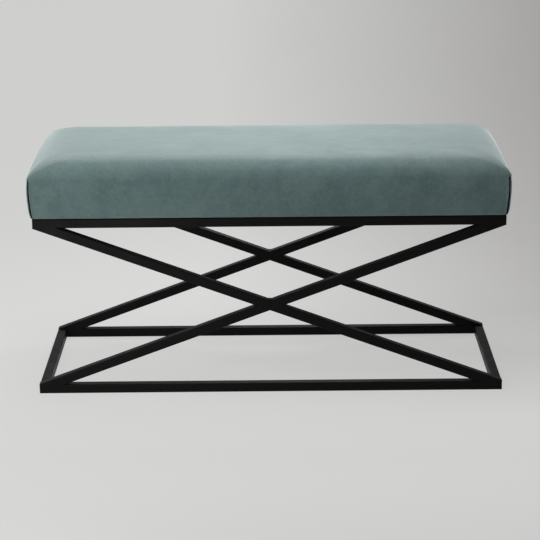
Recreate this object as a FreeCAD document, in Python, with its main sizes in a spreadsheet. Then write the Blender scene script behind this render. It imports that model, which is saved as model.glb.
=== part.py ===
import FreeCAD, Part
import math
import os

import Sketcher

# Upholstered bench: a welded frame of square steel tube with a crossed pair of
# diagonals at the front and at the rear, and a boxy velvet seat screwed on top.
# Millimetres. Origin at the centre of the footprint on the floor, +X to the
# right, +Y to the rear, +Z up.

os.makedirs("parts", exist_ok=True)
document = FreeCAD.newDocument("UpholsteredBench")

# Driving dimensions: name, value, what it measures.
SIZES = (
    ("frame_length", 1000, "steel frame, left to right"),
    ("frame_depth", 400, "steel frame, front to rear"),
    ("frame_height", 390, "floor to the top of the upper rails"),
    ("tube_side", 20, "outer side of the square tube"),
    ("tube_wall", 1.5, "wall of the square tube"),
    ("tube_corner", 2, "outer corner radius of the square tube"),
    ("diagonal_tip", 1, "blunt tip of a diagonal where it meets a rail end"),
    ("diagonal_stock", 1200, "diagonal before its ends are mitred"),
    ("end_plate", 1.5, "plate that closes a rail's end"),
    ("end_plate_round", 1.2, "ground edge of the end plate"),
    ("weld_leg", 3, "leg of the fillet weld inside a frame corner"),
    ("tab_length", 40, "seat fixing tab along its rail"),
    ("tab_reach", 32, "seat fixing tab inwards from its rail"),
    ("tab_plate", 3, "seat fixing tab thickness"),
    ("tab_drop", 1, "top of the tab below the top of the rail"),
    ("tab_corner", 3, "corner radius of the tab"),
    ("tab_pitch", 350, "spacing of the tabs along a rail"),
    ("tabs_per_rail", 3, "tabs on each long rail"),
    ("tab_hole", 6.6, "screw hole in the tab"),
    ("tab_hole_inset", 20, "screw hole inwards from the rail"),
    ("screw_thread", 6, "screw diameter"),
    ("screw_length", 16, "screw below its head"),
    ("screw_head", 10.5, "screw head diameter"),
    ("screw_head_rise", 3.3, "screw head height"),
    ("screw_head_round", 2, "rounding of the button head"),
    ("socket_width", 4, "hexagon socket across flats"),
    ("socket_deep", 2, "hexagon socket depth"),
    ("washer_outer", 12, "washer outer diameter"),
    ("washer_inner", 6.4, "washer hole"),
    ("washer_thick", 1.6, "washer thickness"),
    ("insert_outer", 9.5, "insert nut body diameter"),
    ("insert_inner", 6.1, "insert nut bore"),
    ("insert_length", 13, "insert nut length"),
    ("board_length", 984, "plywood seat board, left to right"),
    ("board_width", 380, "plywood seat board, front to rear"),
    ("board_thick", 15, "plywood seat board thickness"),
    ("board_corner", 8, "corner radius of the seat board"),
    ("dust_cover_thick", 0.6, "black cloth under the seat"),
    ("dust_cover_lap", 14, "edge of the dust cover in from the hem's fold"),
    ("cover_thick", 1.4, "velvet with its backing"),
    ("hem_width", 30, "velvet turned under the board"),
    ("wadding_thick", 5, "polyester wadding over the foam"),
    ("seat_length", 1025, "seat over its widest ends"),
    ("seat_width", 416, "seat over its widest sides"),
    ("seat_end_bulge", 3.5, "bulge of the seat's ends between the corners"),
    ("staple_crown", 10, "staple width"),
    ("staple_leg", 7, "staple leg"),
    ("staple_wire", 0.9, "staple wire"),
    ("staple_pitch", 30, "spacing of the staples"),
    ("hem_staple_inset", 18, "cover staples in from the hem's fold"),
    ("hem_staples_long", 31, "cover staples along a long side"),
    ("hem_staples_short", 11, "cover staples along an end"),
    ("dust_staple_inset", 26, "dust cover staples in from the hem's fold"),
    ("dust_staple_pitch", 60, "spacing of the dust cover staples"),
    ("dust_staples_long", 15, "dust cover staples along a long side"),
    ("dust_staples_short", 5, "dust cover staples along an end"),
)

# Levels of the seat's outer form: name, height above the seat's underside,
# how far in from the widest outline, corner radius in plan.
SEAT_LEVELS = (
    ("hem_fold", 0, 9, 4),
    ("foot", 4, 5.5, 4),
    ("lower_side", 26, 2, 4),
    ("upper_side", 60, 0, 4),
    ("shoulder", 86, 1, 5),
    ("bevel_start", 93, 3.5, 8),
    ("lower_bevel", 99, 8, 12),
    ("middle_bevel", 105, 14.5, 18),
    ("upper_bevel", 111, 23.5, 26),
    ("brow", 116, 33.5, 34),
    ("bevel_end", 119.5, 45, 42),
    ("top", 122, 66, 52),
    ("crown", 123.4, 110, 60),
)

sheet = document.addObject("Spreadsheet::Sheet", "Sizes")
level_sizes = []
for level, rise, inset, corner in SEAT_LEVELS:
    level_sizes.append((f"{level}_rise", rise, "above the seat's underside"))
    level_sizes.append((f"{level}_inset", inset, "in from the widest outline"))
    level_sizes.append((f"{level}_corner", corner, "corner radius in plan"))
for row, (alias, value, meaning) in enumerate((*SIZES, *level_sizes), start=1):
    sheet.set(f"A{row}", alias)
    sheet.set(f"B{row}", str(value))
    sheet.setAlias(f"B{row}", alias)
    sheet.set(f"C{row}", meaning)
document.recompute()

# Sizes that follow from the driving ones, as expressions for the sheet.
TUBE = "Sizes.tube_side"
CORNER = "Sizes.tube_corner"
HALF_LENGTH = "Sizes.frame_length / 2"
RAIL_Y = "(Sizes.frame_depth - Sizes.tube_side) / 2"
TOP_RAIL_Z = "(Sizes.frame_height - Sizes.tube_side / 2)"
BOTTOM_RAIL_Z = "Sizes.tube_side / 2"
WINDOW_RISE = "(Sizes.frame_height - 2 * Sizes.tube_side)"
DIAGONAL_RISE = f"({WINDOW_RISE} - 2 * Sizes.diagonal_tip)"
DIAGONAL_RUN = f"sqrt({DIAGONAL_RISE} ^ 2 + Sizes.frame_length ^ 2)"
SLOPE = f"(atan({DIAGONAL_RISE} / Sizes.frame_length) + asin({TUBE} / {DIAGONAL_RUN}))"
FOOT_LENGTH = f"(({TUBE} - {CORNER}) / sin({SLOPE}) - Sizes.diagonal_tip / tan({SLOPE}))"
SEAT_Z = "(Sizes.frame_height + Sizes.dust_cover_thick)"
BOARD_Z = f"({SEAT_Z} + Sizes.cover_thick)"
TAB_Z = "(Sizes.frame_height - Sizes.tab_drop - Sizes.tab_plate)"
SCREW_Y = "(Sizes.frame_depth / 2 - Sizes.tube_side - Sizes.tab_hole_inset)"
FIRST_TAB_X = "(-Sizes.tab_pitch * (Sizes.tabs_per_rail - 1) / 2)"
FOLD_X = "(Sizes.seat_length / 2 - Sizes.hem_fold_inset)"
FOLD_Y = "(Sizes.seat_width / 2 - Sizes.hem_fold_inset)"

# Long enough to cut right through a tube, centred on it.
THROUGH_TUBE = f"3 * {TUBE}"

# Names for the sketch geometry numbers, and the closeness of points taken as one.
ORIGIN_POINT = (-1, 1)
HORIZONTAL_AXIS = -1
START, END, CENTRE = 1, 2, 3
TOLERANCE = 1e-6
HEXAGON_SIDES = 6
NODES = []


def size(expression):
    """Value of an expression over the sheet, as a plain number."""
    result = sheet.evalExpression(expression)
    return float(getattr(result, "Value", result))


def vector(x, y, z=0.0):
    """Short form of a FreeCAD vector."""
    return FreeCAD.Vector(x, y, z)


def add_body(label):
    """A body for one node, whose label names its file."""
    body = document.addObject("PartDesign::Body", label)
    body.Label = label
    NODES.append(body)
    return body


def origin_feature(body, role):
    """The body's own origin plane or axis with this role."""
    return next(f for f in body.Origin.OriginFeatures if f.Role == role)


def add_sketch(body, name, role, offset="0", turn=None, turn_axis=1):
    """A sketch on an origin plane, moved along and turned about its normal."""
    sketch = body.newObject("Sketcher::SketchObject", f"{body.Name}_{name}")
    sketch.AttachmentSupport = [(origin_feature(body, role), "")]
    sketch.MapMode = "FlatFace"
    if turn:
        axis = vector(0, 0, turn_axis)
        sketch.AttachmentOffset = FreeCAD.Placement(vector(0, 0), FreeCAD.Rotation(axis, 1))
        sketch.setExpression("AttachmentOffset.Rotation.Angle", turn)
    sketch.setExpression("AttachmentOffset.Base.z", offset)
    return sketch


def fix(sketch, kind, references, expression):
    """A dimension of the sketch that follows an expression."""
    value = size(expression)
    index = sketch.addConstraint(Sketcher.Constraint(kind, *references, value))
    sketch.setExpression(f"Constraints[{index}]", expression)


def add_circle(sketch, x, y, diameter):
    """A circle at a point of the sketch."""
    circle = Part.Circle(vector(size(x), size(y)), vector(0, 0, 1), size(diameter) / 2)
    index = sketch.addGeometry(circle)
    fix(sketch, "DistanceX", (*ORIGIN_POINT, index, CENTRE), x)
    fix(sketch, "DistanceY", (*ORIGIN_POINT, index, CENTRE), y)
    fix(sketch, "Diameter", (index,), diameter)


def add_polygon(sketch, points):
    """A closed outline with every corner tied to its expressions."""
    corners = [vector(size(x), size(y)) for x, y in points]
    first = None
    for here, there in zip(corners, corners[1:] + corners[:1]):
        index = sketch.addGeometry(Part.LineSegment(here, there))
        first = index if first is None else first
    for step in range(len(points)):
        index = first + step
        follower = first + (step + 1) % len(points)
        sketch.addConstraint(Sketcher.Constraint("Coincident", index, END, follower, START))
        fix(sketch, "DistanceX", (*ORIGIN_POINT, index, START), points[step][0])
        fix(sketch, "DistanceY", (*ORIGIN_POINT, index, START), points[step][1])


def add_rectangle(sketch, low, high):
    """A rectangle from its low corner to its high corner."""
    add_polygon(sketch, (low, (high[0], low[1]), high, (low[0], high[1])))


def add_rounded_rectangle(sketch, centre, width, rise, radius):
    """A rectangle with rounded corners about a centre."""
    middle = vector(size(centre[0]), size(centre[1]))
    r = size(radius)
    half_x = size(width) / 2 - r
    half_y = size(rise) / 2 - r
    quarter = math.pi / 2
    corners = ((1, -1, -quarter), (1, 1, 0), (-1, 1, quarter), (-1, -1, 2 * quarter))
    arcs = []
    for side_x, side_y, start in corners:
        hub = middle + vector(side_x * half_x, side_y * half_y)
        circle = Part.Circle(hub, vector(0, 0, 1), r)
        arcs.append(sketch.addGeometry(Part.ArcOfCircle(circle, start, start + quarter)))
    lines = []
    for here, there in zip(arcs, arcs[1:] + arcs[:1]):
        line = Part.LineSegment(sketch.getPoint(here, END), sketch.getPoint(there, START))
        lines.append(sketch.addGeometry(line))
        sketch.addConstraint(Sketcher.Constraint("Tangent", here, END, lines[-1], START))
        sketch.addConstraint(Sketcher.Constraint("Tangent", lines[-1], END, there, START))
    for index, kind in zip(lines, ("Vertical", "Horizontal", "Vertical", "Horizontal")):
        sketch.addConstraint(Sketcher.Constraint(kind, index))
    for index in arcs[1:]:
        sketch.addConstraint(Sketcher.Constraint("Equal", arcs[0], index))
    fix(sketch, "Radius", (arcs[0],), radius)
    fix(sketch, "DistanceX", (arcs[3], CENTRE, arcs[0], CENTRE), f"{width} - 2 * {radius}")
    fix(sketch, "DistanceY", (arcs[0], CENTRE, arcs[1], CENTRE), f"{rise} - 2 * {radius}")
    fix(sketch, "DistanceX", (*ORIGIN_POINT, arcs[0], CENTRE), f"{centre[0]} + {width} / 2 - {radius}")
    fix(sketch, "DistanceY", (*ORIGIN_POINT, arcs[1], CENTRE), f"{centre[1]} + {rise} / 2 - {radius}")


def add_corner_filler(sketch, x, y, side_x, side_y):
    """The space between a tube's rounded edge and the square corner at x, y."""
    r = size(CORNER)
    corner = vector(size(x), size(y))
    across = corner - vector(side_x * r, 0)
    down = corner - vector(0, side_y * r)
    hub = corner - vector(side_x * r, side_y * r)
    flat = sketch.addGeometry(Part.LineSegment(across, corner))
    upright = sketch.addGeometry(Part.LineSegment(corner, down))
    begin = across if side_x * side_y < 0 else down
    angle = math.atan2(begin.y - hub.y, begin.x - hub.x)
    circle = Part.Circle(hub, vector(0, 0, 1), r)
    arc = sketch.addGeometry(Part.ArcOfCircle(circle, angle, angle + math.pi / 2))
    at_flat, at_upright = (START, END) if side_x * side_y < 0 else (END, START)
    sketch.addConstraint(Sketcher.Constraint("Coincident", flat, END, upright, START))
    sketch.addConstraint(Sketcher.Constraint("Tangent", flat, START, arc, at_flat))
    sketch.addConstraint(Sketcher.Constraint("Tangent", upright, END, arc, at_upright))
    sketch.addConstraint(Sketcher.Constraint("Horizontal", flat))
    sketch.addConstraint(Sketcher.Constraint("Vertical", upright))
    fix(sketch, "Radius", (arc,), CORNER)
    fix(sketch, "DistanceX", (*ORIGIN_POINT, flat, END), x)
    fix(sketch, "DistanceY", (*ORIGIN_POINT, flat, END), y)


def pad(body, sketch, length, symmetric=False):
    """Material added along the sketch's normal."""
    feature = body.newObject("PartDesign::Pad", f"{sketch.Name}_pad")
    feature.Profile = sketch
    feature.SideType = "Symmetric" if symmetric else "One side"
    feature.setExpression("Length", length)
    document.recompute()
    return feature


def pocket(body, sketch, length, symmetric=False):
    """Material taken away against the sketch's normal, checked by volume."""
    before = body.Shape.Volume
    feature = body.newObject("PartDesign::Pocket", f"{sketch.Name}_pocket")
    feature.Profile = sketch
    feature.SideType = "Symmetric" if symmetric else "One side"
    feature.setExpression("Length", length)
    document.recompute()
    if not 0 < body.Shape.Volume < before:
        raise RuntimeError(f"{feature.Name} cuts nothing")
    return feature


def repeat(body, original, mirrors=(), row=None):
    """Copies of a feature along a row (axis, length, count), then mirrored."""
    steps = []
    if row:
        axis, length, count = row
        pattern = document.addObject("PartDesign::LinearPattern", f"{original.Name}_row")
        pattern.Direction = (origin_feature(body, axis), [""])
        pattern.setExpression("Length", length)
        pattern.setExpression("Occurrences", count)
        steps.append(pattern)
    for role in mirrors:
        mirror = document.addObject("PartDesign::Mirrored", f"{original.Name}_{role[:2]}")
        mirror.MirrorPlane = (origin_feature(body, role), [""])
        steps.append(mirror)
    feature = body.newObject("PartDesign::MultiTransform", f"{original.Name}_copies")
    feature.Transformations = steps
    feature.Originals = [original]
    body.Tip = feature
    document.recompute()
    return feature


def place(body, x="0", y="0", z="0", tilt=None, tilt_axis=1):
    """Put a body at its place, tilted about Y where asked."""
    if tilt:
        axis = vector(0, tilt_axis, 0)
        body.Placement = FreeCAD.Placement(vector(0, 0), FreeCAD.Rotation(axis, 1))
        body.setExpression("Placement.Rotation.Angle", tilt)
    for name, expression in zip("xyz", (x, y, z)):
        body.setExpression(f"Placement.Base.{name}", expression)


def tube_section(sketch):
    """Square tube section with rounded corners, centred on the sketch."""
    wall = "Sizes.tube_wall"
    centre = ("0", "0")
    add_rounded_rectangle(sketch, centre, TUBE, TUBE, CORNER)
    inside = f"({TUBE} - 2 * {wall})"
    add_rounded_rectangle(sketch, centre, inside, inside, f"({CORNER} - {wall})")


# Rails

def make_long_rail(label, y, z):
    """Square tube along X, short of the frame's length by its two end plates."""
    body = add_body(label)
    section = add_sketch(body, "section", "YZ_Plane")
    tube_section(section)
    pad(body, section, "Sizes.frame_length - 2 * Sizes.end_plate", symmetric=True)
    place(body, y=y, z=z)


def make_cross_rail(label, x, z):
    """Square tube along Y, fitted between the two long rails."""
    body = add_body(label)
    section = add_sketch(body, "section", "XZ_Plane")
    tube_section(section)
    pad(body, section, f"Sizes.frame_depth - 2 * {TUBE}", symmetric=True)
    place(body, x=x, z=z)


RAIL_LEVELS = (("top", TOP_RAIL_Z), ("bottom", BOTTOM_RAIL_Z))
for level, rail_z in RAIL_LEVELS:
    make_long_rail(f"front_{level}_rail", f"-{RAIL_Y}", rail_z)
    make_long_rail(f"rear_{level}_rail", RAIL_Y, rail_z)
    cross_x = f"({HALF_LENGTH} - {TUBE} / 2)"
    make_cross_rail(f"left_{level}_cross_rail", f"-{cross_x}", rail_z)
    make_cross_rail(f"right_{level}_cross_rail", cross_x, rail_z)


# Diagonals

def make_diagonal(label, y, rising, share=None):
    """Mitred tube across the window between the rails.

    rising is 1 where it climbs to the right and -1 where it falls. share is
    "upper" or "lower" for a half that butts against the whole diagonal.
    """
    body = add_body(label)
    section = add_sketch(body, "section", "YZ_Plane")
    tube_section(section)
    pad(body, section, "Sizes.diagonal_stock", symmetric=True)
    window = add_sketch(body, "window", "XZ_Plane", turn=SLOPE, turn_axis=-rising)
    reach = "Sizes.diagonal_stock"
    add_rectangle(window, (f"-{reach}", f"-{reach}"), (reach, reach))
    half_rise = f"{WINDOW_RISE} / 2"
    add_rectangle(window, (f"-{HALF_LENGTH}", f"-{half_rise}"), (HALF_LENGTH, half_rise))
    pocket(body, window, THROUGH_TUBE, symmetric=True)
    if share:
        butt = add_sketch(body, "butt", "XZ_Plane", turn=f"2 * {SLOPE}", turn_axis=-rising)
        side_face = f"{TUBE} / 2"
        if share == "upper":
            add_rectangle(butt, (f"-{reach}", f"-{reach}"), (reach, side_face))
        else:
            add_rectangle(butt, (f"-{reach}", f"-{side_face}"), (reach, reach))
        pocket(body, butt, THROUGH_TUBE, symmetric=True)
    place(body, y=y, z="Sizes.frame_height / 2", tilt=SLOPE, tilt_axis=-rising)


PANELS = (("front", f"-{RAIL_Y}", -1), ("rear", RAIL_Y, 1))
for panel, panel_y, rising in PANELS:
    make_diagonal(f"{panel}_long_diagonal", panel_y, rising)
    for share in ("upper", "lower"):
        make_diagonal(f"{panel}_{share}_half_diagonal", panel_y, -rising, share)


# End plates and welds

def make_end_plates(label, z):
    """Four thin plates that close the ends of two long rails."""
    body = add_body(label)
    outline = add_sketch(body, "outline", "YZ_Plane", offset=f"-{HALF_LENGTH}")
    add_rounded_rectangle(outline, (f"-{RAIL_Y}", "0"), TUBE, TUBE, CORNER)
    plate = pad(body, outline, "Sizes.end_plate")
    copies = repeat(body, plate, ("YZ_Plane", "XZ_Plane"))
    outer_x = size(HALF_LENGTH)
    rims = [
        f"Edge{number}"
        for number, edge in enumerate(body.Shape.Edges, start=1)
        if all(abs(abs(corner.X) - outer_x) < TOLERANCE for corner in edge.Vertexes)
    ]
    fillet = body.newObject("PartDesign::Fillet", f"{label}_rounding")
    fillet.Base = (copies, rims)
    fillet.setExpression("Radius", "Sizes.end_plate_round")
    document.recompute()
    place(body, z=z)


def make_foot_welds():
    """Ground welds that fill the groove beside each diagonal's long mitre."""
    body = add_body("diagonal_foot_welds")
    outer_y = "Sizes.frame_depth / 2"
    inner_y = f"({outer_y} - {TUBE})"
    faces = (("outer", outer_y, -1, "0"), ("inner", inner_y, 1, TUBE))
    for face, y, side, start in faces:
        offset = f"{start} - {HALF_LENGTH}"
        section = add_sketch(body, face, "YZ_Plane", offset=offset)
        add_corner_filler(section, f"-{y}", TUBE, side, 1)
        add_corner_filler(section, f"-{y}", f"(Sizes.frame_height - {TUBE})", side, -1)
        bead = pad(body, section, f"{FOOT_LENGTH} - {start}")
        repeat(body, bead, ("YZ_Plane", "XZ_Plane"))


def make_crossing_welds(label, y, rising):
    """Ground welds where the two half diagonals butt against the whole one."""
    body = add_body(label)
    shift = f"{TUBE} / 2 / tan(2 * {SLOPE})"
    for name, side in (("upper", 1), ("lower", -1)):
        offset = f"{-rising * side} * {shift}"
        section = add_sketch(body, name, "YZ_Plane", offset=offset)
        for side_y in (-1, 1):
            add_corner_filler(section, f"{side_y} * {TUBE} / 2", f"{side} * {TUBE} / 2", side_y, side)
        pad(body, section, f"({TUBE} - 2 * {CORNER}) / sin(2 * {SLOPE})", symmetric=True)
    place(body, y=y, z="Sizes.frame_height / 2", tilt=SLOPE, tilt_axis=-rising)


def make_corner_welds():
    """Upright fillet welds inside the corners of the two rail rectangles."""
    body = add_body("frame_corner_welds")
    section = add_sketch(body, "section", "XY_Plane", offset=CORNER)
    x = f"({TUBE} - {HALF_LENGTH})"
    y = f"({TUBE} - Sizes.frame_depth / 2)"
    leg = "Sizes.weld_leg"
    add_polygon(section, ((x, y), (f"({x} + {leg})", y), (x, f"({y} + {leg})")))
    bead = pad(body, section, f"{TUBE} - 2 * {CORNER}")
    levels = ("Z_Axis", f"Sizes.frame_height - {TUBE}", "2")
    repeat(body, bead, ("YZ_Plane", "XZ_Plane"), levels)


for level, rail_z in RAIL_LEVELS:
    make_end_plates(f"{level}_rail_end_plates", rail_z)
make_foot_welds()
for panel, panel_y, rising in PANELS:
    make_crossing_welds(f"{panel}_crossing_welds", panel_y, rising)
make_corner_welds()


# Seat fixings

TAB_ROW = ("X_Axis", "Sizes.tab_pitch * (Sizes.tabs_per_rail - 1)", "Sizes.tabs_per_rail")


def repeat_at_tabs(body, feature):
    """Copies of a feature at every seat fixing tab."""
    return repeat(body, feature, ("XZ_Plane",), TAB_ROW)


def make_fixing_tabs():
    """Steel tabs welded inside the upper long rails, drilled for a screw."""
    body = add_body("seat_fixing_tabs")
    outline = add_sketch(body, "outline", "XY_Plane")
    middle_y = f"-({SCREW_Y} + Sizes.tab_hole_inset - Sizes.tab_reach / 2)"
    centre = (FIRST_TAB_X, middle_y)
    add_rounded_rectangle(
        outline, centre, "Sizes.tab_length", "Sizes.tab_reach", "Sizes.tab_corner"
    )
    add_circle(outline, FIRST_TAB_X, f"-{SCREW_Y}", "Sizes.tab_hole")
    repeat_at_tabs(body, pad(body, outline, "Sizes.tab_plate"))
    place(body, z=TAB_Z)


def make_ring(label, outer, inner, thickness, z):
    """A plain ring on the axis of every seat screw."""
    body = add_body(label)
    outline = add_sketch(body, "outline", "XY_Plane")
    for diameter in (outer, inner):
        add_circle(outline, FIRST_TAB_X, f"-{SCREW_Y}", diameter)
    repeat_at_tabs(body, pad(body, outline, thickness))
    place(body, z=z)


def make_screws():
    """Button head screws with a hexagon socket, head down."""
    body = add_body("seat_fixing_screws")
    x, y = FIRST_TAB_X, f"-{SCREW_Y}"
    head_outline = add_sketch(body, "head", "XY_Plane")
    add_circle(head_outline, x, y, "Sizes.screw_head")
    head = pad(body, head_outline, "Sizes.screw_head_rise")
    rims = [
        f"Edge{number}"
        for number, edge in enumerate(body.Shape.Edges, start=1)
        if edge.isClosed() and abs(edge.BoundBox.ZMax) < TOLERANCE
    ]
    dome = body.newObject("PartDesign::Fillet", f"{body.Name}_dome")
    dome.Base = (head, rims)
    dome.setExpression("Radius", "Sizes.screw_head_round")
    document.recompute()
    shank_outline = add_sketch(body, "shank", "XY_Plane", offset="Sizes.screw_head_rise")
    add_circle(shank_outline, x, y, "Sizes.screw_thread")
    shank = pad(body, shank_outline, "Sizes.screw_length")
    socket_outline = add_sketch(body, "socket", "XY_Plane", offset="Sizes.socket_deep")
    radius = "Sizes.socket_width / sqrt(3)"
    turns = [f"{360 // HEXAGON_SIDES * step}deg" for step in range(HEXAGON_SIDES)]
    hexagon = [
        (f"({x} + {radius} * cos({turn}))", f"({y} + {radius} * sin({turn}))")
        for turn in turns
    ]
    add_polygon(socket_outline, hexagon)
    socket = pocket(body, socket_outline, "2 * Sizes.socket_deep")
    copies = repeat_at_tabs(body, head)
    copies.Originals = [head, dome, shank, socket]
    document.recompute()
    place(body, z=f"{TAB_Z} - Sizes.washer_thick - Sizes.screw_head_rise")


make_fixing_tabs()
make_ring(
    "seat_screw_washers",
    "Sizes.washer_outer",
    "Sizes.washer_inner",
    "Sizes.washer_thick",
    f"{TAB_Z} - Sizes.washer_thick",
)
make_ring(
    "seat_insert_nuts",
    "Sizes.insert_outer",
    "Sizes.insert_inner",
    "Sizes.insert_length",
    BOARD_Z,
)
make_screws()


# Seat

def make_drilled_sheet(label, length, width, thickness, hole, z):
    """A flat sheet with rounded corners and a hole on every seat screw."""
    body = add_body(label)
    outline = add_sketch(body, "outline", "XY_Plane")
    add_rounded_rectangle(outline, ("0", "0"), length, width, "Sizes.board_corner")
    pad(body, outline, thickness)
    bore = add_sketch(body, "bore", "XY_Plane", offset=thickness)
    add_circle(bore, FIRST_TAB_X, f"-{SCREW_Y}", hole)
    repeat_at_tabs(body, pocket(body, bore, f"2 * {thickness}"))
    place(body, z=z)


def seat_section(sketch, level, skin):
    """Plan outline of the seat at a level: straight sides and bowed ends."""
    inset = f"(Sizes.{level}_inset + {skin})"
    corner = f"Sizes.{level}_corner"
    half_x = f"(Sizes.seat_length / 2 - {inset})"
    half_y = f"(Sizes.seat_width / 2 - {inset})"
    bulge = "Sizes.seat_end_bulge"
    bow = f"(({half_y} ^ 2 + {bulge} ^ 2) / (2 * {bulge}))"
    r, reach_x, reach_y, bow_r = size(corner), size(half_x), size(half_y), size(bow)
    hub_x = reach_x - bow_r
    hub_y = reach_y - r
    spread = math.asin(hub_y / (bow_r - r))
    corner_x = hub_x + (bow_r - r) * math.cos(spread)
    up = vector(0, 0, 1)
    quarter = math.pi / 2

    def arc(x, y, radius, start, end):
        circle = Part.Circle(vector(x, y), up, radius)
        return sketch.addGeometry(Part.ArcOfCircle(circle, start, end))

    right_end = arc(hub_x, 0, bow_r, -spread, spread)
    rear_right = arc(corner_x, hub_y, r, spread, quarter)
    rear = sketch.addGeometry(
        Part.LineSegment(vector(corner_x, reach_y), vector(-corner_x, reach_y))
    )
    rear_left = arc(-corner_x, hub_y, r, quarter, math.pi - spread)
    left_end = arc(-hub_x, 0, bow_r, math.pi - spread, math.pi + spread)
    front_left = arc(-corner_x, -hub_y, r, math.pi + spread, 3 * quarter)
    front = sketch.addGeometry(
        Part.LineSegment(vector(-corner_x, -reach_y), vector(corner_x, -reach_y))
    )
    front_right = arc(corner_x, -hub_y, r, 3 * quarter, 4 * quarter - spread)
    loop = (
        right_end, rear_right, rear, rear_left, left_end, front_left, front, front_right
    )
    for here, there in zip(loop, loop[1:] + loop[:1]):
        sketch.addConstraint(Sketcher.Constraint("Tangent", here, END, there, START))
    for line in (rear, front):
        sketch.addConstraint(Sketcher.Constraint("Horizontal", line))
    for end_arc in (right_end, left_end):
        sketch.addConstraint(
            Sketcher.Constraint("PointOnObject", end_arc, CENTRE, HORIZONTAL_AXIS)
        )
    for corner_arc in (rear_left, front_left, front_right):
        sketch.addConstraint(Sketcher.Constraint("Equal", rear_right, corner_arc))
    sketch.addConstraint(Sketcher.Constraint("Equal", right_end, left_end))
    fix(sketch, "Radius", (rear_right,), corner)
    fix(sketch, "Radius", (right_end,), bow)
    fix(sketch, "DistanceX", (*ORIGIN_POINT, right_end, CENTRE), f"{half_x} - {bow}")
    fix(sketch, "DistanceX", (*ORIGIN_POINT, left_end, CENTRE), f"{bow} - {half_x}")
    fix(sketch, "DistanceY", (*ORIGIN_POINT, rear_right, CENTRE), f"{half_y} - {corner}")
    fix(sketch, "DistanceY", (*ORIGIN_POINT, front_right, CENTRE), f"{corner} - {half_y}")


def seat_loft(body, kind, skin, lift):
    """The seat's form, drawn in by a skin and raised by a lift at its foot."""
    name = kind.split("::")[1]
    full_rise = "Sizes.crown_rise"
    sections = []
    for level, *_ in SEAT_LEVELS:
        height = f"{lift} + Sizes.{level}_rise * ({full_rise} - {lift} - {skin}) / {full_rise}"
        section = add_sketch(body, f"{name}_{level}", "XY_Plane", offset=height)
        seat_section(section, level, skin)
        sections.append(section)
    document.recompute()
    loft = body.newObject(kind, f"{body.Name}_{name}")
    loft.Profile = sections[0]
    loft.Sections = sections[1:]
    loft.Ruled = True
    document.recompute()
    return loft


COVER_SKIN = "Sizes.cover_thick"
FOAM_SKIN = "(Sizes.cover_thick + Sizes.wadding_thick)"


def make_velvet_cover():
    """Velvet pulled over the seat and turned under the board as a hem."""
    body = add_body("velvet_cover")
    seat_loft(body, "PartDesign::AdditiveLoft", "0", "0")
    seat_loft(body, "PartDesign::SubtractiveLoft", COVER_SKIN, COVER_SKIN)
    opening = add_sketch(body, "opening", "XY_Plane", offset="2 * Sizes.cover_thick")
    add_rounded_rectangle(
        opening,
        ("0", "0"),
        f"2 * ({FOLD_X} - Sizes.hem_width)",
        f"2 * ({FOLD_Y} - Sizes.hem_width)",
        "Sizes.board_corner",
    )
    pocket(body, opening, "3 * Sizes.cover_thick")
    place(body, z=SEAT_Z)


def make_wadding_layer():
    """Polyester wadding over the foam and down the board's edges."""
    body = add_body("wadding_layer")
    seat_loft(body, "PartDesign::AdditiveLoft", COVER_SKIN, COVER_SKIN)
    seat_loft(body, "PartDesign::SubtractiveLoft", FOAM_SKIN, COVER_SKIN)
    place(body, z=SEAT_Z)


def make_foam_block():
    """Foam with bevelled upper edges, flat where it is glued to the board."""
    body = add_body("foam_block")
    seat_loft(body, "PartDesign::AdditiveLoft", FOAM_SKIN, COVER_SKIN)
    below = add_sketch(
        body, "board", "XY_Plane", offset="Sizes.cover_thick + Sizes.board_thick"
    )
    reach_x, reach_y = "Sizes.seat_length", "Sizes.seat_width"
    add_rectangle(below, (f"-{reach_x}", f"-{reach_y}"), (reach_x, reach_y))
    pocket(body, below, "2 * Sizes.board_thick")
    place(body, z=SEAT_Z)


def staple_outline(sketch, middle):
    """A staple seen from its side, crown down and legs up."""
    half = "(Sizes.staple_crown / 2)"
    wire, leg = "Sizes.staple_wire", "Sizes.staple_leg"
    outer = ((f"-{half}", "0"), (half, "0"), (half, leg), (f"({half} - {wire})", leg))
    inner = (
        (f"({half} - {wire})", wire),
        (f"({wire} - {half})", wire),
        (f"({wire} - {half})", leg),
        (f"-{half}", leg),
    )
    add_polygon(sketch, [(f"({middle} + {x})", y) for x, y in (*outer, *inner)])


def make_staples(label, inset, pitch, long_count, short_count, z):
    """Staples all round the seat's underside, in one row a side."""
    body = add_body(label)
    wire = "Sizes.staple_wire"
    sides = (
        ("XZ_Plane", "X_Axis", FOLD_Y, long_count),
        ("YZ_Plane", "Y_Axis", FOLD_X, short_count),
    )
    for plane, axis, fold, count in sides:
        run = f"({pitch} * ({count} - 1))"
        section = add_sketch(body, plane[:2], plane, offset=f"{fold} - {inset}")
        staple_outline(section, f"-{run} / 2")
        one = pad(body, section, wire, symmetric=True)
        repeat(body, one, (plane,), (axis, run, count))
    place(body, z=z)


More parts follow.
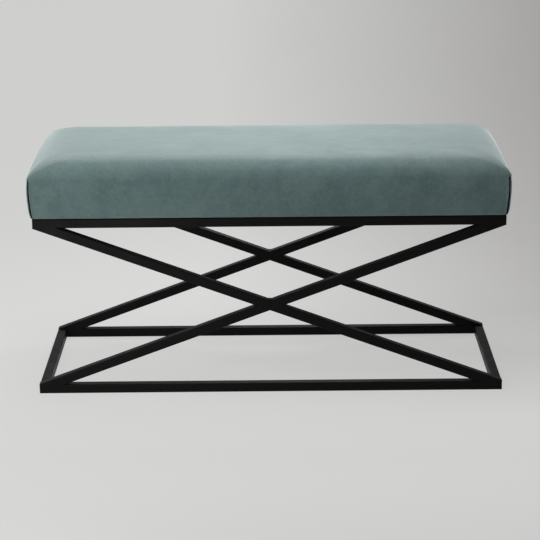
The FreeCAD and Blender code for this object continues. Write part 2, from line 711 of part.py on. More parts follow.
make_drilled_sheet(
    "seat_base_board",
    "Sizes.board_length",
    "Sizes.board_width",
    "Sizes.board_thick",
    "Sizes.insert_outer",
    BOARD_Z,
)
make_foam_block()
make_wadding_layer()
make_velvet_cover()
make_staples(
    "cover_staples",
    "Sizes.hem_staple_inset",
    "Sizes.staple_pitch",
    "Sizes.hem_staples_long",
    "Sizes.hem_staples_short",
    SEAT_Z,
)
make_drilled_sheet(
    "dust_cover",
    f"2 * ({FOLD_X} - Sizes.dust_cover_lap)",
    f"2 * ({FOLD_Y} - Sizes.dust_cover_lap)",
    "Sizes.dust_cover_thick",
    "Sizes.tab_hole",
    "Sizes.frame_height",
)
make_staples(
    "dust_cover_staples",
    "Sizes.dust_staple_inset",
    "Sizes.dust_staple_pitch",
    "Sizes.dust_staples_long",
    "Sizes.dust_staples_short",
    "Sizes.frame_height",
)
document.recompute()

# Every object is sound before anything is written.
for item in document.Objects:
    if "Invalid" in item.State or "Error" in item.State:
        raise RuntimeError(f"{item.Name} failed: {item.State}")
for node in NODES:
    if node.Shape.isNull() or not node.Shape.isValid() or not node.Shape.Solids:
        raise RuntimeError(f"{node.Label} has no sound solid")

for node in NODES:
    node.Shape.exportStep(f"parts/{node.Label}.step")
    box = node.Shape.BoundBox
    print(
        f"{node.Label}: {len(node.Shape.Solids)} solids, {node.Shape.Volume:.0f} mm3, "
        f"x {box.XMin:.1f} {box.XMax:.1f} y {box.YMin:.1f} {box.YMax:.1f} "
        f"z {box.ZMin:.1f} {box.ZMax:.1f}"
    )
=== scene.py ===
"""Dress the upholstered bench: velvet seat, padding, black frame and studio.

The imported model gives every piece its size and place. This script adds the
soft pieces, the weld beads, every finish, and the studio they stand in.
Metres, +X to the right, +Y to the rear, +Z up.
"""
import logging
import math
from collections.abc import Iterable, Sequence
from dataclasses import dataclass, field
from enum import Enum
from itertools import product

import bmesh
import bpy
import numpy as np
from mathutils import Matrix, Vector, noise
from mathutils.kdtree import KDTree


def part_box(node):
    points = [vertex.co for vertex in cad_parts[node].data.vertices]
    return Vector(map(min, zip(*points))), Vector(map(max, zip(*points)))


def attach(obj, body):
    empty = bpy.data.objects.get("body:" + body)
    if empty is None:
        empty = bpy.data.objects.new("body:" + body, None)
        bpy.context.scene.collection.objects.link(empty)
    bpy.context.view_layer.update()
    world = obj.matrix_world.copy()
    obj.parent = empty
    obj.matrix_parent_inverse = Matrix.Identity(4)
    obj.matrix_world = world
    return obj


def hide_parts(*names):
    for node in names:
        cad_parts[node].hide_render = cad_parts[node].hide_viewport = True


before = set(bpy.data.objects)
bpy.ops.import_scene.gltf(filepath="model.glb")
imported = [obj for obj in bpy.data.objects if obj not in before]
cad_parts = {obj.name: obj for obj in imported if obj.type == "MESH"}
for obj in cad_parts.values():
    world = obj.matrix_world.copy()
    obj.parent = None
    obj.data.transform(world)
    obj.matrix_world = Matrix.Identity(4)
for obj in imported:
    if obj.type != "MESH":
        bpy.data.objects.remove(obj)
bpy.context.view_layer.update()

LOG = logging.getLogger("bench")
MM = 0.001
QUARTER_TURN = math.pi / 2

Colour = tuple[float, float, float]
Place = tuple[float, float, float]


class Weave(Enum):
    """Kinds of cloth surface that a piece can show."""

    PILE = "pile"
    FELT = "felt"


def smooth_step(value: np.ndarray | float, start: float, end: float) -> np.ndarray:
    """Rise smoothly from 0 at start to 1 at end.

    Args:
        value: Where to read the step.
        start: Value at which the step leaves 0.
        end: Value at which the step reaches 1. It may lie below start.

    Returns:
        The step's height at each value.
    """
    share = np.clip((np.asarray(value, float) - start) / (end - start), 0.0, 1.0)
    return share * share * (3.0 - 2.0 * share)


def monotone_curve(known: np.ndarray, heights: np.ndarray, wanted: np.ndarray) -> np.ndarray:
    """Join points by a smooth curve that never overshoots them.

    Args:
        known: Rising positions of the points.
        heights: Value at each point.
        wanted: Positions to read the curve at.

    Returns:
        The curve's value at each wanted position.
    """
    gap = np.diff(known)
    slope = np.diff(heights) / gap
    tangent = np.zeros_like(heights)
    before, after = slope[:-1], slope[1:]
    same_way = before * after > 0
    weight_1 = 2 * gap[1:] + gap[:-1]
    weight_2 = gap[1:] + 2 * gap[:-1]
    total = weight_1 + weight_2
    safe_before = np.where(same_way, before, 1.0)
    safe_after = np.where(same_way, after, 1.0)
    mean = total / (weight_1 / safe_before + weight_2 / safe_after)
    tangent[1:-1] = np.where(same_way, mean, 0.0)
    tangent[0], tangent[-1] = slope[0], slope[-1]
    span = np.clip(np.searchsorted(known, wanted, side="right") - 1, 0, len(gap) - 1)
    share = (wanted - known[span]) / gap[span]
    rest = 1 - share
    return (
        heights[span] * rest * rest * (1 + 2 * share)
        + heights[span + 1] * share * share * (3 - 2 * share)
        + gap[span] * tangent[span] * share * rest * rest
        - gap[span] * tangent[span + 1] * share * share * rest
    )


class NodeTree:
    """A material's node tree, with short calls for the nodes that it needs."""

    def __init__(self, name: str) -> None:
        """Start a material that holds one shader and object coordinates.

        Args:
            name: Name of the material.
        """
        self.material = bpy.data.materials.new(name)
        self.material.use_nodes = True
        self.nodes = self.material.node_tree.nodes
        self.links = self.material.node_tree.links
        self.shader = next(n for n in self.nodes if n.type == "BSDF_PRINCIPLED")
        self.place = self.add("ShaderNodeTexCoord").outputs["Object"]

    def add(self, kind: str, **settings: object) -> bpy.types.Node:
        """Add a node.

        Args:
            kind: Blender's name for the node's type.
            **settings: Properties of the node, by name.

        Returns:
            The new node.
        """
        node = self.nodes.new(kind)
        for name, value in settings.items():
            setattr(node, name, value)
        return node

    def feed(self, socket: bpy.types.NodeSocket, value: object) -> None:
        """Link a socket's source to it, or set it to a plain value.

        Args:
            socket: The socket to fill.
            value: Another node's output, or a plain number or colour.
        """
        if isinstance(value, bpy.types.NodeSocket):
            self.links.new(value, socket)
        elif socket.type == "RGBA":
            socket.default_value = (*value, 1.0)
        else:
            socket.default_value = value

    def set_shader(self, **values: object) -> None:
        """Set or link the shader's sockets.

        Args:
            **values: A value for each socket, with underscores for spaces.
        """
        sockets = {s.name.lower().replace(" ", "_"): s for s in self.shader.inputs}
        for name, value in values.items():
            self.feed(sockets[name], value)

    def noise(
        self,
        grain: float,
        detail: float = 3.0,
        stretch: Place = (1.0, 1.0, 1.0),
        distortion: float = 0.0,
    ) -> bpy.types.NodeSocket:
        """Add cloudy noise.

        Args:
            grain: Size of one cloud, in metres.
            detail: How many finer layers lie on it.
            stretch: How much longer the clouds are along each axis.
            distortion: How far the clouds are twisted.

        Returns:
            The noise, from 0 to 1.
        """
        mapping = self.add("ShaderNodeMapping")
        self.feed(mapping.inputs["Vector"], self.place)
        self.feed(mapping.inputs["Scale"], tuple(1 / long for long in stretch))
        clouds = self.add("ShaderNodeTexNoise")
        self.feed(clouds.inputs["Vector"], mapping.outputs["Vector"])
        self.feed(clouds.inputs["Scale"], 1 / grain)
        self.feed(clouds.inputs["Detail"], detail)
        self.feed(clouds.inputs["Distortion"], distortion)
        return clouds.outputs["Fac"]

    def cells(self, grain: float) -> bpy.types.NodeSocket:
        """Add a pattern of cells.

        Args:
            grain: Size of one cell, in metres.

        Returns:
            The distance from the heart of each cell.
        """
        cells = self.add("ShaderNodeTexVoronoi", feature="F1")
        self.feed(cells.inputs["Vector"], self.place)
        self.feed(cells.inputs["Scale"], 1 / grain)
        return cells.outputs["Distance"]

    def spread(
        self,
        value: bpy.types.NodeSocket,
        source: tuple[float, float],
        target: tuple[float, float],
    ) -> bpy.types.NodeSocket:
        """Map a value from one range to another, clamped at its ends.

        Args:
            value: The value to map.
            source: Range that it comes from.
            target: Range that it goes to.

        Returns:
            The mapped value.
        """
        node = self.add("ShaderNodeMapRange")
        bounds = ("From Min", "From Max", "To Min", "To Max")
        self.feed(node.inputs["Value"], value)
        for name, number in zip(bounds, (*source, *target)):
            self.feed(node.inputs[name], number)
        return node.outputs["Result"]

    def maths(self, operation: str, first: object, second: object) -> bpy.types.NodeSocket:
        """Combine two values.

        Args:
            operation: Blender's name for the sum, such as ADD or MULTIPLY.
            first: Number, or the socket it comes from.
            second: Number, or the socket it comes from.

        Returns:
            The result.
        """
        node = self.add("ShaderNodeMath", operation=operation)
        self.feed(node.inputs[0], first)
        self.feed(node.inputs[1], second)
        return node.outputs["Value"]

    def weigh(self, share: float, first: object, second: object) -> bpy.types.NodeSocket:
        """Add two values, each by its share of the whole.

        Args:
            share: Share of the first value; the second has the rest.
            first: Number, or the socket it comes from.
            second: Number, or the socket it comes from.

        Returns:
            The weighed sum.
        """
        part = self.maths("MULTIPLY", first, share)
        rest = self.maths("MULTIPLY", second, 1 - share)
        return self.maths("ADD", part, rest)

    def blend(
        self, share: object, first: bpy.types.NodeSocket, second: bpy.types.NodeSocket
    ) -> bpy.types.NodeSocket:
        """Blend two shaders.

        Args:
            share: 0 for the first shader, 1 for the second.
            first: The first shader's output.
            second: The second shader's output.

        Returns:
            The blended shader's output.
        """
        node = self.add("ShaderNodeMixShader")
        self.feed(node.inputs["Fac"], share)
        self.links.new(first, node.inputs[1])
        self.links.new(second, node.inputs[2])
        return node.outputs["Shader"]

    def mix(self, share: object, first: object, second: object) -> bpy.types.NodeSocket:
        """Mix two colours by a share.

        Args:
            share: 0 for the first colour, 1 for the second.
            first: Colour, or the socket it comes from.
            second: Colour, or the socket it comes from.

        Returns:
            The mixed colour.
        """
        node = self.add("ShaderNodeMix", data_type="RGBA")
        self.feed(node.inputs["Factor"], share)
        colours = [socket for socket in node.inputs if socket.type == "RGBA"]
        self.feed(colours[0], first)
        self.feed(colours[1], second)
        return next(socket for socket in node.outputs if socket.type == "RGBA")

    def bump(
        self,
        height: bpy.types.NodeSocket,
        depth: float,
        strength: float = 1.0,
        below: bpy.types.NodeSocket | None = None,
    ) -> bpy.types.NodeSocket:
        """Turn a height into a tilted surface.

        Args:
            height: The height, from 0 to 1.
            depth: Real height of 1, in metres.
            strength: Share of the tilt that shows.
            below: Another bump that this one lies on.

        Returns:
            The tilted normal.
        """
        node = self.add("ShaderNodeBump")
        self.feed(node.inputs["Height"], height)
        self.feed(node.inputs["Distance"], depth)
        self.feed(node.inputs["Strength"], strength)
        if below:
            self.feed(node.inputs["Normal"], below)
        return node.outputs["Normal"]


@dataclass(frozen=True)
class Finish:
    """A finish that can be made into a material."""

    name: str

    def material(self) -> bpy.types.Material:
        """Make the finish's material; each kind of finish has its own."""
        raise NotImplementedError


@dataclass(frozen=True)
class Velvet(Finish):
    """Short dusty teal pile, brushed about so that its tone drifts."""

    shade: Colour = (0.068, 0.116, 0.111)
    light: Colour = (0.122, 0.184, 0.178)
    cool: Colour = (0.084, 0.128, 0.142)
    sheen_tint: Colour = (0.90, 0.98, 0.975)
    sheen: float = 0.68
    sheen_spread: float = 0.50
    patch: float = 0.11
    stroke: float = 0.028
    fibre: float = 0.0016
    patch_share: float = 0.55
    nap_share: float = 0.6
    nap_tones: tuple[float, float] = (0.36, 0.64)
    grain_tones: tuple[float, float] = (0.3, 0.7)
    cool_most: float = 0.4
    roughness: tuple[float, float] = (0.95, 0.82)
    stroke_depth: float = 0.9 * MM
    speck_depth: float = 0.25 * MM
    fibre_depth: float = 0.12 * MM

    def material(self) -> bpy.types.Material:
        """Mix brushed patches, strokes and fibres, under a soft sheen.

        Returns:
            The material.
        """
        tree = NodeTree(self.name)
        patches = tree.noise(self.patch, detail=2, distortion=0.6)
        strokes = tree.noise(self.stroke, detail=5, stretch=(1, 1, 1.3), distortion=0.6)
        fibres = tree.noise(self.fibre, detail=2)
        specks = tree.noise(self.fibre * 4, detail=3)
        drift = tree.weigh(self.patch_share, patches, strokes)
        nap = tree.spread(drift, self.nap_tones, (0, 1))
        grain = tree.spread(specks, self.grain_tones, (0, 1))
        tone = tree.mix(tree.weigh(self.nap_share, nap, grain), self.shade, self.light)
        cloud = tree.noise(self.patch * 0.5, detail=2)
        blue = tree.spread(cloud, (0.55, 0.75), (0, self.cool_most))
        tree.set_shader(
            base_color=tree.mix(blue, tone, self.cool),
            roughness=tree.spread(nap, (0, 1), self.roughness),
            specular_ior_level=0.15,
            sheen_weight=self.sheen,
            sheen_roughness=self.sheen_spread,
            sheen_tint=self.sheen_tint,
        )
        brushed = tree.bump(strokes, self.stroke_depth, 0.5)
        piled = tree.bump(specks, self.speck_depth, 0.6, brushed)
        tree.set_shader(normal=tree.bump(fibres, self.fibre_depth, 0.6, piled))
        return tree.material


@dataclass(frozen=True)
class PowderCoat(Finish):
    """Satin black powder coat with a faint orange peel."""

    shade: Colour = (0.0030, 0.0030, 0.0032)
    gloss: tuple[float, float] = (0.42, 0.52)
    shine: float = 0.09
    peel: float = 0.0016
    peel_depth: float = 0.03 * MM
    cloud: float = 0.045
    fade: float = 1.5

    def material(self) -> bpy.types.Material:
        """Blend fine grit, slow clouds of gloss and the peel of the coat.

        Returns:
            The material.
        """
        tree = NodeTree(self.name)
        clouds = tree.noise(self.cloud, detail=3)
        grit = tree.noise(self.peel * 0.4, detail=2)
        faded = tuple(self.fade * part for part in self.shade)
        tree.set_shader(
            base_color=tree.mix(tree.spread(grit, (0.45, 0.75), (0, 1)), self.shade, faded),
            roughness=tree.spread(clouds, (0.3, 0.7), self.gloss),
            specular_ior_level=self.shine,
        )
        peel = tree.bump(tree.noise(self.peel, detail=1), self.peel_depth)
        tree.set_shader(normal=tree.bump(grit, self.peel_depth * 0.3, 0.5, peel))
        return tree.material


@dataclass(frozen=True)
class ZincPlate(Finish):
    """Bright zinc plate with faint blue and yellow clouds."""

    silver: Colour = (0.60, 0.61, 0.62)
    straw: Colour = (0.58, 0.56, 0.48)
    roughness: tuple[float, float] = (0.28, 0.42)
    cloud: float = 4 * MM
    scuff: float = 1.2 * MM
    grain: float = 0.6 * MM
    grain_depth: float = 0.01 * MM

    def material(self) -> bpy.types.Material:
        """Cloud the plating's colour and gloss.

        Returns:
            The material.
        """
        tree = NodeTree(self.name)
        clouds = tree.spread(tree.noise(self.cloud, detail=3), (0.4, 0.7), (0, 0.6))
        tree.set_shader(
            base_color=tree.mix(clouds, self.silver, self.straw),
            metallic=1.0,
            roughness=tree.spread(tree.noise(self.scuff), (0.3, 0.7), self.roughness),
        )
        tree.set_shader(normal=tree.bump(tree.noise(self.grain), self.grain_depth))
        return tree.material


@dataclass(frozen=True)
class Plywood(Finish):
    """Birch plywood: grained faces and plies that show at the edge."""

    pale: Colour = (0.56, 0.42, 0.26)
    dark: Colour = (0.36, 0.24, 0.13)
    grain: float = 6 * MM
    grain_stretch: float = 14
    grain_depth: float = 0.12 * MM
    ply: float = 1.36 * MM
    ply_contrast: float = 0.35
    waves_per_unit: float = 10

    def material(self) -> bpy.types.Material:
        """Draw long grain along the board and turned plies through it.

        Returns:
            The material.
        """
        tree = NodeTree(self.name)
        stretch = (self.grain_stretch, 1, 1)
        grain = tree.noise(self.grain, detail=5, stretch=stretch, distortion=0.4)
        plies = tree.add("ShaderNodeTexWave", bands_direction="Z", wave_profile="SAW")
        tree.feed(plies.inputs["Vector"], tree.place)
        tree.feed(plies.inputs["Scale"], 1 / (2 * self.ply) / self.waves_per_unit)
        banded = tree.spread(plies.outputs["Fac"], (0.4, 0.6), (0, 1))
        layered = tree.maths("MULTIPLY", banded, self.ply_contrast)
        streak = tree.maths("ADD", tree.spread(grain, (0.35, 0.7), (0, 0.65)), layered)
        tree.set_shader(base_color=tree.mix(streak, self.pale, self.dark), roughness=0.62)
        tree.set_shader(normal=tree.bump(grain, self.grain_depth))
        return tree.material


@dataclass(frozen=True)
class Foam(Finish):
    """Open-cell foam with a fine sponge of cells."""

    cream: Colour = (0.70, 0.66, 0.52)
    painted_hollow_shade: Colour = (0.48, 0.43, 0.30)
    cell: float = 1.1 * MM
    cell_depth: float = 0.5 * MM

    def material(self) -> bpy.types.Material:
        """Sink the cells below their walls, and paint shade into their hollows.

        Returns:
            The material.
        """
        tree = NodeTree(self.name)
        cells = tree.cells(self.cell)
        # Painted shade: the colour darkens towards each cell's sunken heart.
        shaded_hollows = tree.spread(cells, (0.1, 0.6), (0.7, 0))
        tree.set_shader(
            base_color=tree.mix(shaded_hollows, self.cream, self.painted_hollow_shade),
            roughness=0.95,
            specular_ior_level=0.2,
        )
        tree.set_shader(normal=tree.bump(cells, self.cell_depth))
        return tree.material


@dataclass(frozen=True)
class Fleece(Finish):
    """Matted fibres: white wadding, or thin black bonded cloth."""

    pale: Colour = (0.78, 0.78, 0.76)
    deep: Colour = (0.60, 0.60, 0.58)
    fibre: float = 0.9 * MM
    fibre_stretch: float = 6
    loft: float = 0.8 * MM
    sheen: float = 0.3
    dimple: float = 2 * MM
    weave: Weave = Weave.PILE

    def material(self) -> bpy.types.Material:
        """Mat two layers of stretched fibres, and press felt into dimples.

        Returns:
            The material.
        """
        tree = NodeTree(self.name)
        along, across = (
            tree.noise(self.fibre, detail=4, stretch=stretch, distortion=1.2)
            for stretch in ((self.fibre_stretch, 1, 1), (1, self.fibre_stretch, 1))
        )
        matted = tree.maths("MAXIMUM", along, across)
        if self.weave is Weave.FELT:
            dimples = tree.spread(tree.cells(self.dimple), (0, 0.5), (0.6, 1))
            matted = tree.maths("MULTIPLY", matted, dimples)
        tree.set_shader(
            base_color=tree.mix(tree.spread(matted, (0.4, 0.75), (0, 1)), self.deep, self.pale),
            roughness=0.92,
            specular_ior_level=0.2,
            sheen_weight=self.sheen,
            sheen_roughness=0.5,
        )
        tree.set_shader(normal=tree.bump(matted, self.loft, 0.7))
        return tree.material


@dataclass(frozen=True)
class StudioPaper(Finish):
    """Matt pale paper from the floor up the wall; its glow carries painted shade, darker at the
    wall's right and towards the front.

    The fades are places in metres where the painted shade begins and is full.
    """

    shade: Colour = (0.66, 0.66, 0.65)
    pale: Colour = (0.675, 0.675, 0.668)
    painted_shade_tone: Colour = (0.395, 0.388, 0.380)
    glow: float = 0.82
    tooth: float = 2 * MM
    tooth_depth: float = 0.03 * MM
    cloud: float = 0.9
    cloud_push: float = 0.2
    right_fade: tuple[float, float] = (-0.08, 1.02)
    wall_fade: tuple[float, float] = (-0.35, 0.35)
    front_fade: tuple[float, float] = (-0.5, -1.1)
    front_most: float = 0.22

    def material(self) -> bpy.types.Material:
        """Mix the lit paper with a glow that carries painted shade, and leave its back open to
        view.

        Returns:
            The material.
        """
        tree = NodeTree(self.name)
        tree.set_shader(base_color=self.shade, roughness=0.75, specular_ior_level=0.25)
        tree.set_shader(normal=tree.bump(tree.noise(self.tooth), self.tooth_depth, 0.4))
        axes = tree.add("ShaderNodeSeparateXYZ")
        tree.feed(axes.inputs["Vector"], tree.place)
        clouds = tree.maths("MULTIPLY", tree.noise(self.cloud, detail=2), self.cloud_push)
        across = tree.maths("ADD", axes.outputs["X"], clouds)
        # Painted shade: the glow's tone darkens towards the wall's right and towards the front.
        rightward = tree.spread(across, self.right_fade, (0, 1))
        wallward = tree.spread(axes.outputs["Y"], self.wall_fade, (0, 1))
        frontward = tree.spread(axes.outputs["Y"], self.front_fade, (0, self.front_most))
        walled = tree.maths("MULTIPLY", rightward, wallward)
        shaded = tree.maths("MAXIMUM", walled, frontward)
        even = tree.add("ShaderNodeEmission")
        tree.feed(even.inputs["Color"], tree.mix(shaded, self.pale, self.painted_shade_tone))
        rays = tree.add("ShaderNodeLightPath")
        seen = rays.outputs["Is Camera Ray"]
        for kind in ("Is Glossy Ray", "Is Transmission Ray"):
            seen = tree.maths("MAXIMUM", seen, rays.outputs[kind])
        share = tree.maths("MULTIPLY", seen, self.glow)
        front = tree.blend(share, tree.shader.outputs["BSDF"], even.outputs["Emission"])
        back = tree.add("ShaderNodeNewGeometry").outputs["Backfacing"]
        nothing = tree.add("ShaderNodeBsdfTransparent").outputs["BSDF"]
        one_sided = tree.blend(back, front, nothing)
        surface = next(n for n in tree.nodes if n.type == "OUTPUT_MATERIAL")
        tree.links.new(one_sided, surface.inputs["Surface"])
        return tree.material


VELVET = Velvet("teal_velvet")
# Painted shade: a dark, nearly sheenless copy of the velvet for the faces that lie deep in the
# corner pleats.
PAINTED_PLEAT_SHADE = Velvet(
    "velvet_deep_in_the_pleat",
    shade=(0.004, 0.011, 0.011),
    light=(0.007, 0.017, 0.017),
    cool=(0.005, 0.012, 0.014),
    sheen=0.03,
)
FRAME_BLACK = PowderCoat("satin_black_coat")
WELD_BLACK = PowderCoat("coated_weld", gloss=(0.34, 0.5), peel=0.0011, peel_depth=0.09 * MM)
ZINC = ZincPlate("zinc_plate")
STAPLE_WIRE = ZincPlate("staple_wire", silver=(0.52, 0.53, 0.54), straw=(0.50, 0.49, 0.46))
PLYWOOD = Plywood("birch_plywood")
FOAM = Foam("seat_foam_cells")
WADDING = Fleece("polyester_wadding")
DUST_CLOTH = Fleece(
    "black_bonded_cloth",
    pale=(0.030, 0.030, 0.031),
    deep=(0.012, 0.012, 0.013),
    fibre=0.5 * MM,
    loft=0.12 * MM,
    sheen=0.1,
    weave=Weave.FELT,
)
PAPER = StudioPaper("studio_paper")


def place_in_scene(name: str, data: bpy.types.ID) -> bpy.types.Object:
    """Put a mesh, lamp or camera into the scene.

    Args:
        name: Name of the new object.
        data: What the object holds.

    Returns:
        The object.
    """
    made = bpy.data.objects.new(name, data)
    bpy.context.scene.collection.objects.link(made)
    return made


def grid_faces(
    rows: int, columns: int, first: int = 0, closed: bool = False
) -> list[tuple[int, ...]]:
    """Faces that join rows of points.

    Args:
        rows: How many rows there are.
        columns: How many points a row has.
        first: Index of the first point.
        closed: Whether each row runs round to its own start.

    Returns:
        Four-sided faces, row by row.
    """
    faces = []
    for row in range(rows - 1):
        for step in range(columns if closed else columns - 1):
            here = first + row * columns + step
            beside = first + row * columns + (step + 1) % columns
            faces.append((here, beside, beside + columns, here + columns))
    return faces


def vertex_places(mesh: bpy.types.Mesh) -> np.ndarray:
    """Read where a mesh's vertices are.

    Args:
        mesh: The mesh.

    Returns:
        One x, y and z a vertex.
    """
    flat = np.empty(len(mesh.vertices) * 3, np.float32)
    mesh.vertices.foreach_get("co", flat)
    return flat.reshape(-1, 3).astype(float)


@dataclass
class Surface:
    """Points and faces of a mesh while it is being shaped."""

    points: np.ndarray
    faces: list[tuple[int, ...]]

    def normals(self) -> np.ndarray:
        """Find the outward direction at every point from the faces round it.

        Returns:
            One direction a point.
        """
        mesh = self.mesh("measuring")
        found = np.empty(len(mesh.vertices) * 3, np.float32)
        mesh.vertex_normals.foreach_get("vector", found)
        bpy.data.meshes.remove(mesh)
        return found.reshape(-1, 3).astype(float)

    def mesh(self, name: str) -> bpy.types.Mesh:
        """Write the surface as a smooth-shaded mesh.

        Args:
            name: Name of the mesh.

        Returns:
            The mesh.
        """
        mesh = bpy.data.meshes.new(name)
        mesh.from_pydata(self.points.tolist(), [], self.faces)
        mesh.shade_smooth()
        return mesh

    def piece(self, name: str) -> bpy.types.Object:
        """Put the surface into the scene under a name."""
        return place_in_scene(name, self.mesh(name))


def apply_modifiers(piece: bpy.types.Object) -> None:
    """Turn what a piece's modifiers show into its own mesh.

    Args:
        piece: The object whose modifiers are applied.
    """
    graph = bpy.context.evaluated_depsgraph_get()
    shown = bpy.data.meshes.new_from_object(piece.evaluated_get(graph))
    shown.name = piece.data.name
    spare = piece.data
    piece.modifiers.clear()
    piece.data = shown
    bpy.data.meshes.remove(spare)


def thicken(
    piece: bpy.types.Object, thickness: float, outward: bool = False, finer: bool = True
) -> None:
    """Give a surface its thickness, and halve its faces where it is soft.

    Args:
        piece: The surface's piece.
        thickness: Thickness, in metres.
        outward: Whether it is added outside the surface and not inside.
        finer: Whether the faces are halved and smoothed.
    """
    shell = piece.modifiers.new("thickness", "SOLIDIFY")
    shell.thickness = thickness
    shell.offset = 1.0 if outward else -1.0
    if finer:
        rounder = piece.modifiers.new("finer", "SUBSURF")
        rounder.levels = rounder.render_levels = 1
    apply_modifiers(piece)


def paint(piece: bpy.types.Object, material: bpy.types.Material) -> None:
    """Give a piece one material all over.

    Args:
        piece: The piece, new or from the model.
        material: The material for its every slot.
    """
    if not piece.material_slots:
        piece.data.materials.append(material)
    for place in piece.material_slots:
        place.material = material


def dress(names: Iterable[str], finish: Finish) -> None:
    """Give pieces of the model one finish.

    Args:
        names: The pieces' names in the model.
        finish: The finish that they share.
    """
    material = finish.material()
    for name in names:
        paint(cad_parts[name], material)
        LOG.info("%s: %s", name, finish.name)


def finish_piece(
    piece: bpy.types.Object,
    finish: Finish,
    replaced: Sequence[str] = (),
) -> None:
    """Dress a new piece and fasten it to the bench.

    Args:
        piece: The new piece.
        finish: Its finish.
        replaced: Model pieces that it stands for.
    """
    paint(piece, finish.material())
    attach(piece, "root")
    if replaced:
        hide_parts(*replaced)
    LOG.info("%s: %d faces, %s", piece.name, len(piece.data.polygons), finish.name)


@dataclass(frozen=True)
class Level:
    """One height of the seat's side, in millimetres."""

    rise: float
    inset: float
    corner: float


# The seat's side from its underside to its crown.
SEAT_LEVELS = (
    Level(0, 9, 4),
    Level(4, 5.5, 4),
    Level(26, 2, 4),
    Level(60, 0, 4),
    Level(86, 1, 5),
    Level(93, 3.5, 8),
    Level(99, 8, 12),
    Level(105, 14.5, 18),
    Level(111, 23.5, 26),
    Level(116, 33.5, 34),
    Level(119.5, 45, 42),
    Level(122, 66, 52),
    Level(123.4, 110, 60),
)

# The folded corner pleat seen from above, in millimetres: in from the seat's
# end, in from its face, and how firmly the cloth is held there.
PLEAT_SECTION = (
    (17.0, 0.0, 0.0),
    (14.5, 0.3, 0.5),
    (12.0, 0.4, 1.0),
    (9.8, 0.0, 1.0),
    (8.2, -0.5, 1.0),
    (7.0, -0.7, 1.0),
    (6.6, -0.1, 1.0),
    (6.3, 0.9, 1.0),
    (6.3, 2.4, 1.0),
    (6.4, 5.4, 1.0),
    (6.4, 8.4, 1.0),
    (5.8, 10.2, 1.0),
    (4.6, 10.8, 1.0),
    (3.4, 10.2, 1.0),
    (2.8, 8.4, 1.0),
    (2.7, 5.4, 1.0),
    (2.7, 2.4, 1.0),
    (2.3, 0.9, 1.0),
    (1.5, 0.3, 1.0),
    (0.7, 0.8, 1.0),
    (0.1, 2.2, 1.0),
    (0.0, 4.6, 0.8),
    (0.0, 7.0, 0.4),
    (0.0, 9.0, 0.0),
)

# Rings under the hem, as shares of the way out to the seat's edge.
HEM_RINGS = (0.97, 0.85, 0.68, 0.5, 0.32, 0.15, 0.05)


@dataclass(frozen=True)
class Outline:
    """Plan of the seat at one height: straight sides, bowed ends, round corners."""

    half_length: float
    half_width: float
    corner: float
    bulge: float

    @property
    def bow(self) -> float:
        """Radius of the bowed ends."""
        return (self.half_width**2 + self.bulge**2) / (2 * self.bulge)

    @property
    def spread(self) -> float:
        """Half the angle that a bowed end takes."""
        return math.asin((self.half_width - self.corner) / (self.bow - self.corner))

    @property
    def hub(self) -> tuple[float, float]:
        """Centre of the right front corner's arc.

        Returns:
            Its x and y.
        """
        reach = self.bow - self.corner
        across = self.half_length - self.bow + reach * math.cos(self.spread)
        return across, self.corner - self.half_width

    @property
    def arc(self) -> float:
        """Length of a corner's arc."""
        return self.corner * (QUARTER_TURN - self.spread)

    @property
    def quarter(self) -> float:
        """Length from the middle of the front to the middle of the right end."""
        return self.hub[0] + self.arc + self.bow * self.spread

    @property
    def corner_middle(self) -> float:
        """Length from the middle of the front to the middle of the corner."""
        return self.hub[0] + self.arc / 2

    def walk(self, lengths: np.ndarray) -> np.ndarray:
        """Points of the right front quarter.

        Args:
            lengths: How far round from the middle of the front, in metres.

        Returns:
            One x and y a length.
        """
        hub_x, hub_y = self.hub
        side = np.minimum(lengths, hub_x)
        turn = np.clip(lengths - hub_x, 0, self.arc) / self.corner
        sweep = np.clip(lengths - hub_x - self.arc, 0, None) / self.bow - self.spread
        on_side = np.stack([side, np.full_like(side, -self.half_width)], axis=1)
        on_corner = np.stack(
            [hub_x + self.corner * np.sin(turn), hub_y - self.corner * np.cos(turn)], axis=1
        )
        middle = self.half_length - self.bow
        on_end = np.stack(
            [middle + self.bow * np.cos(sweep), self.bow * np.sin(sweep)], axis=1
        )
        past_side = (lengths > hub_x)[:, None]
        past_corner = (lengths > hub_x + self.arc)[:, None]
        return np.where(past_corner, on_end, np.where(past_side, on_corner, on_side))


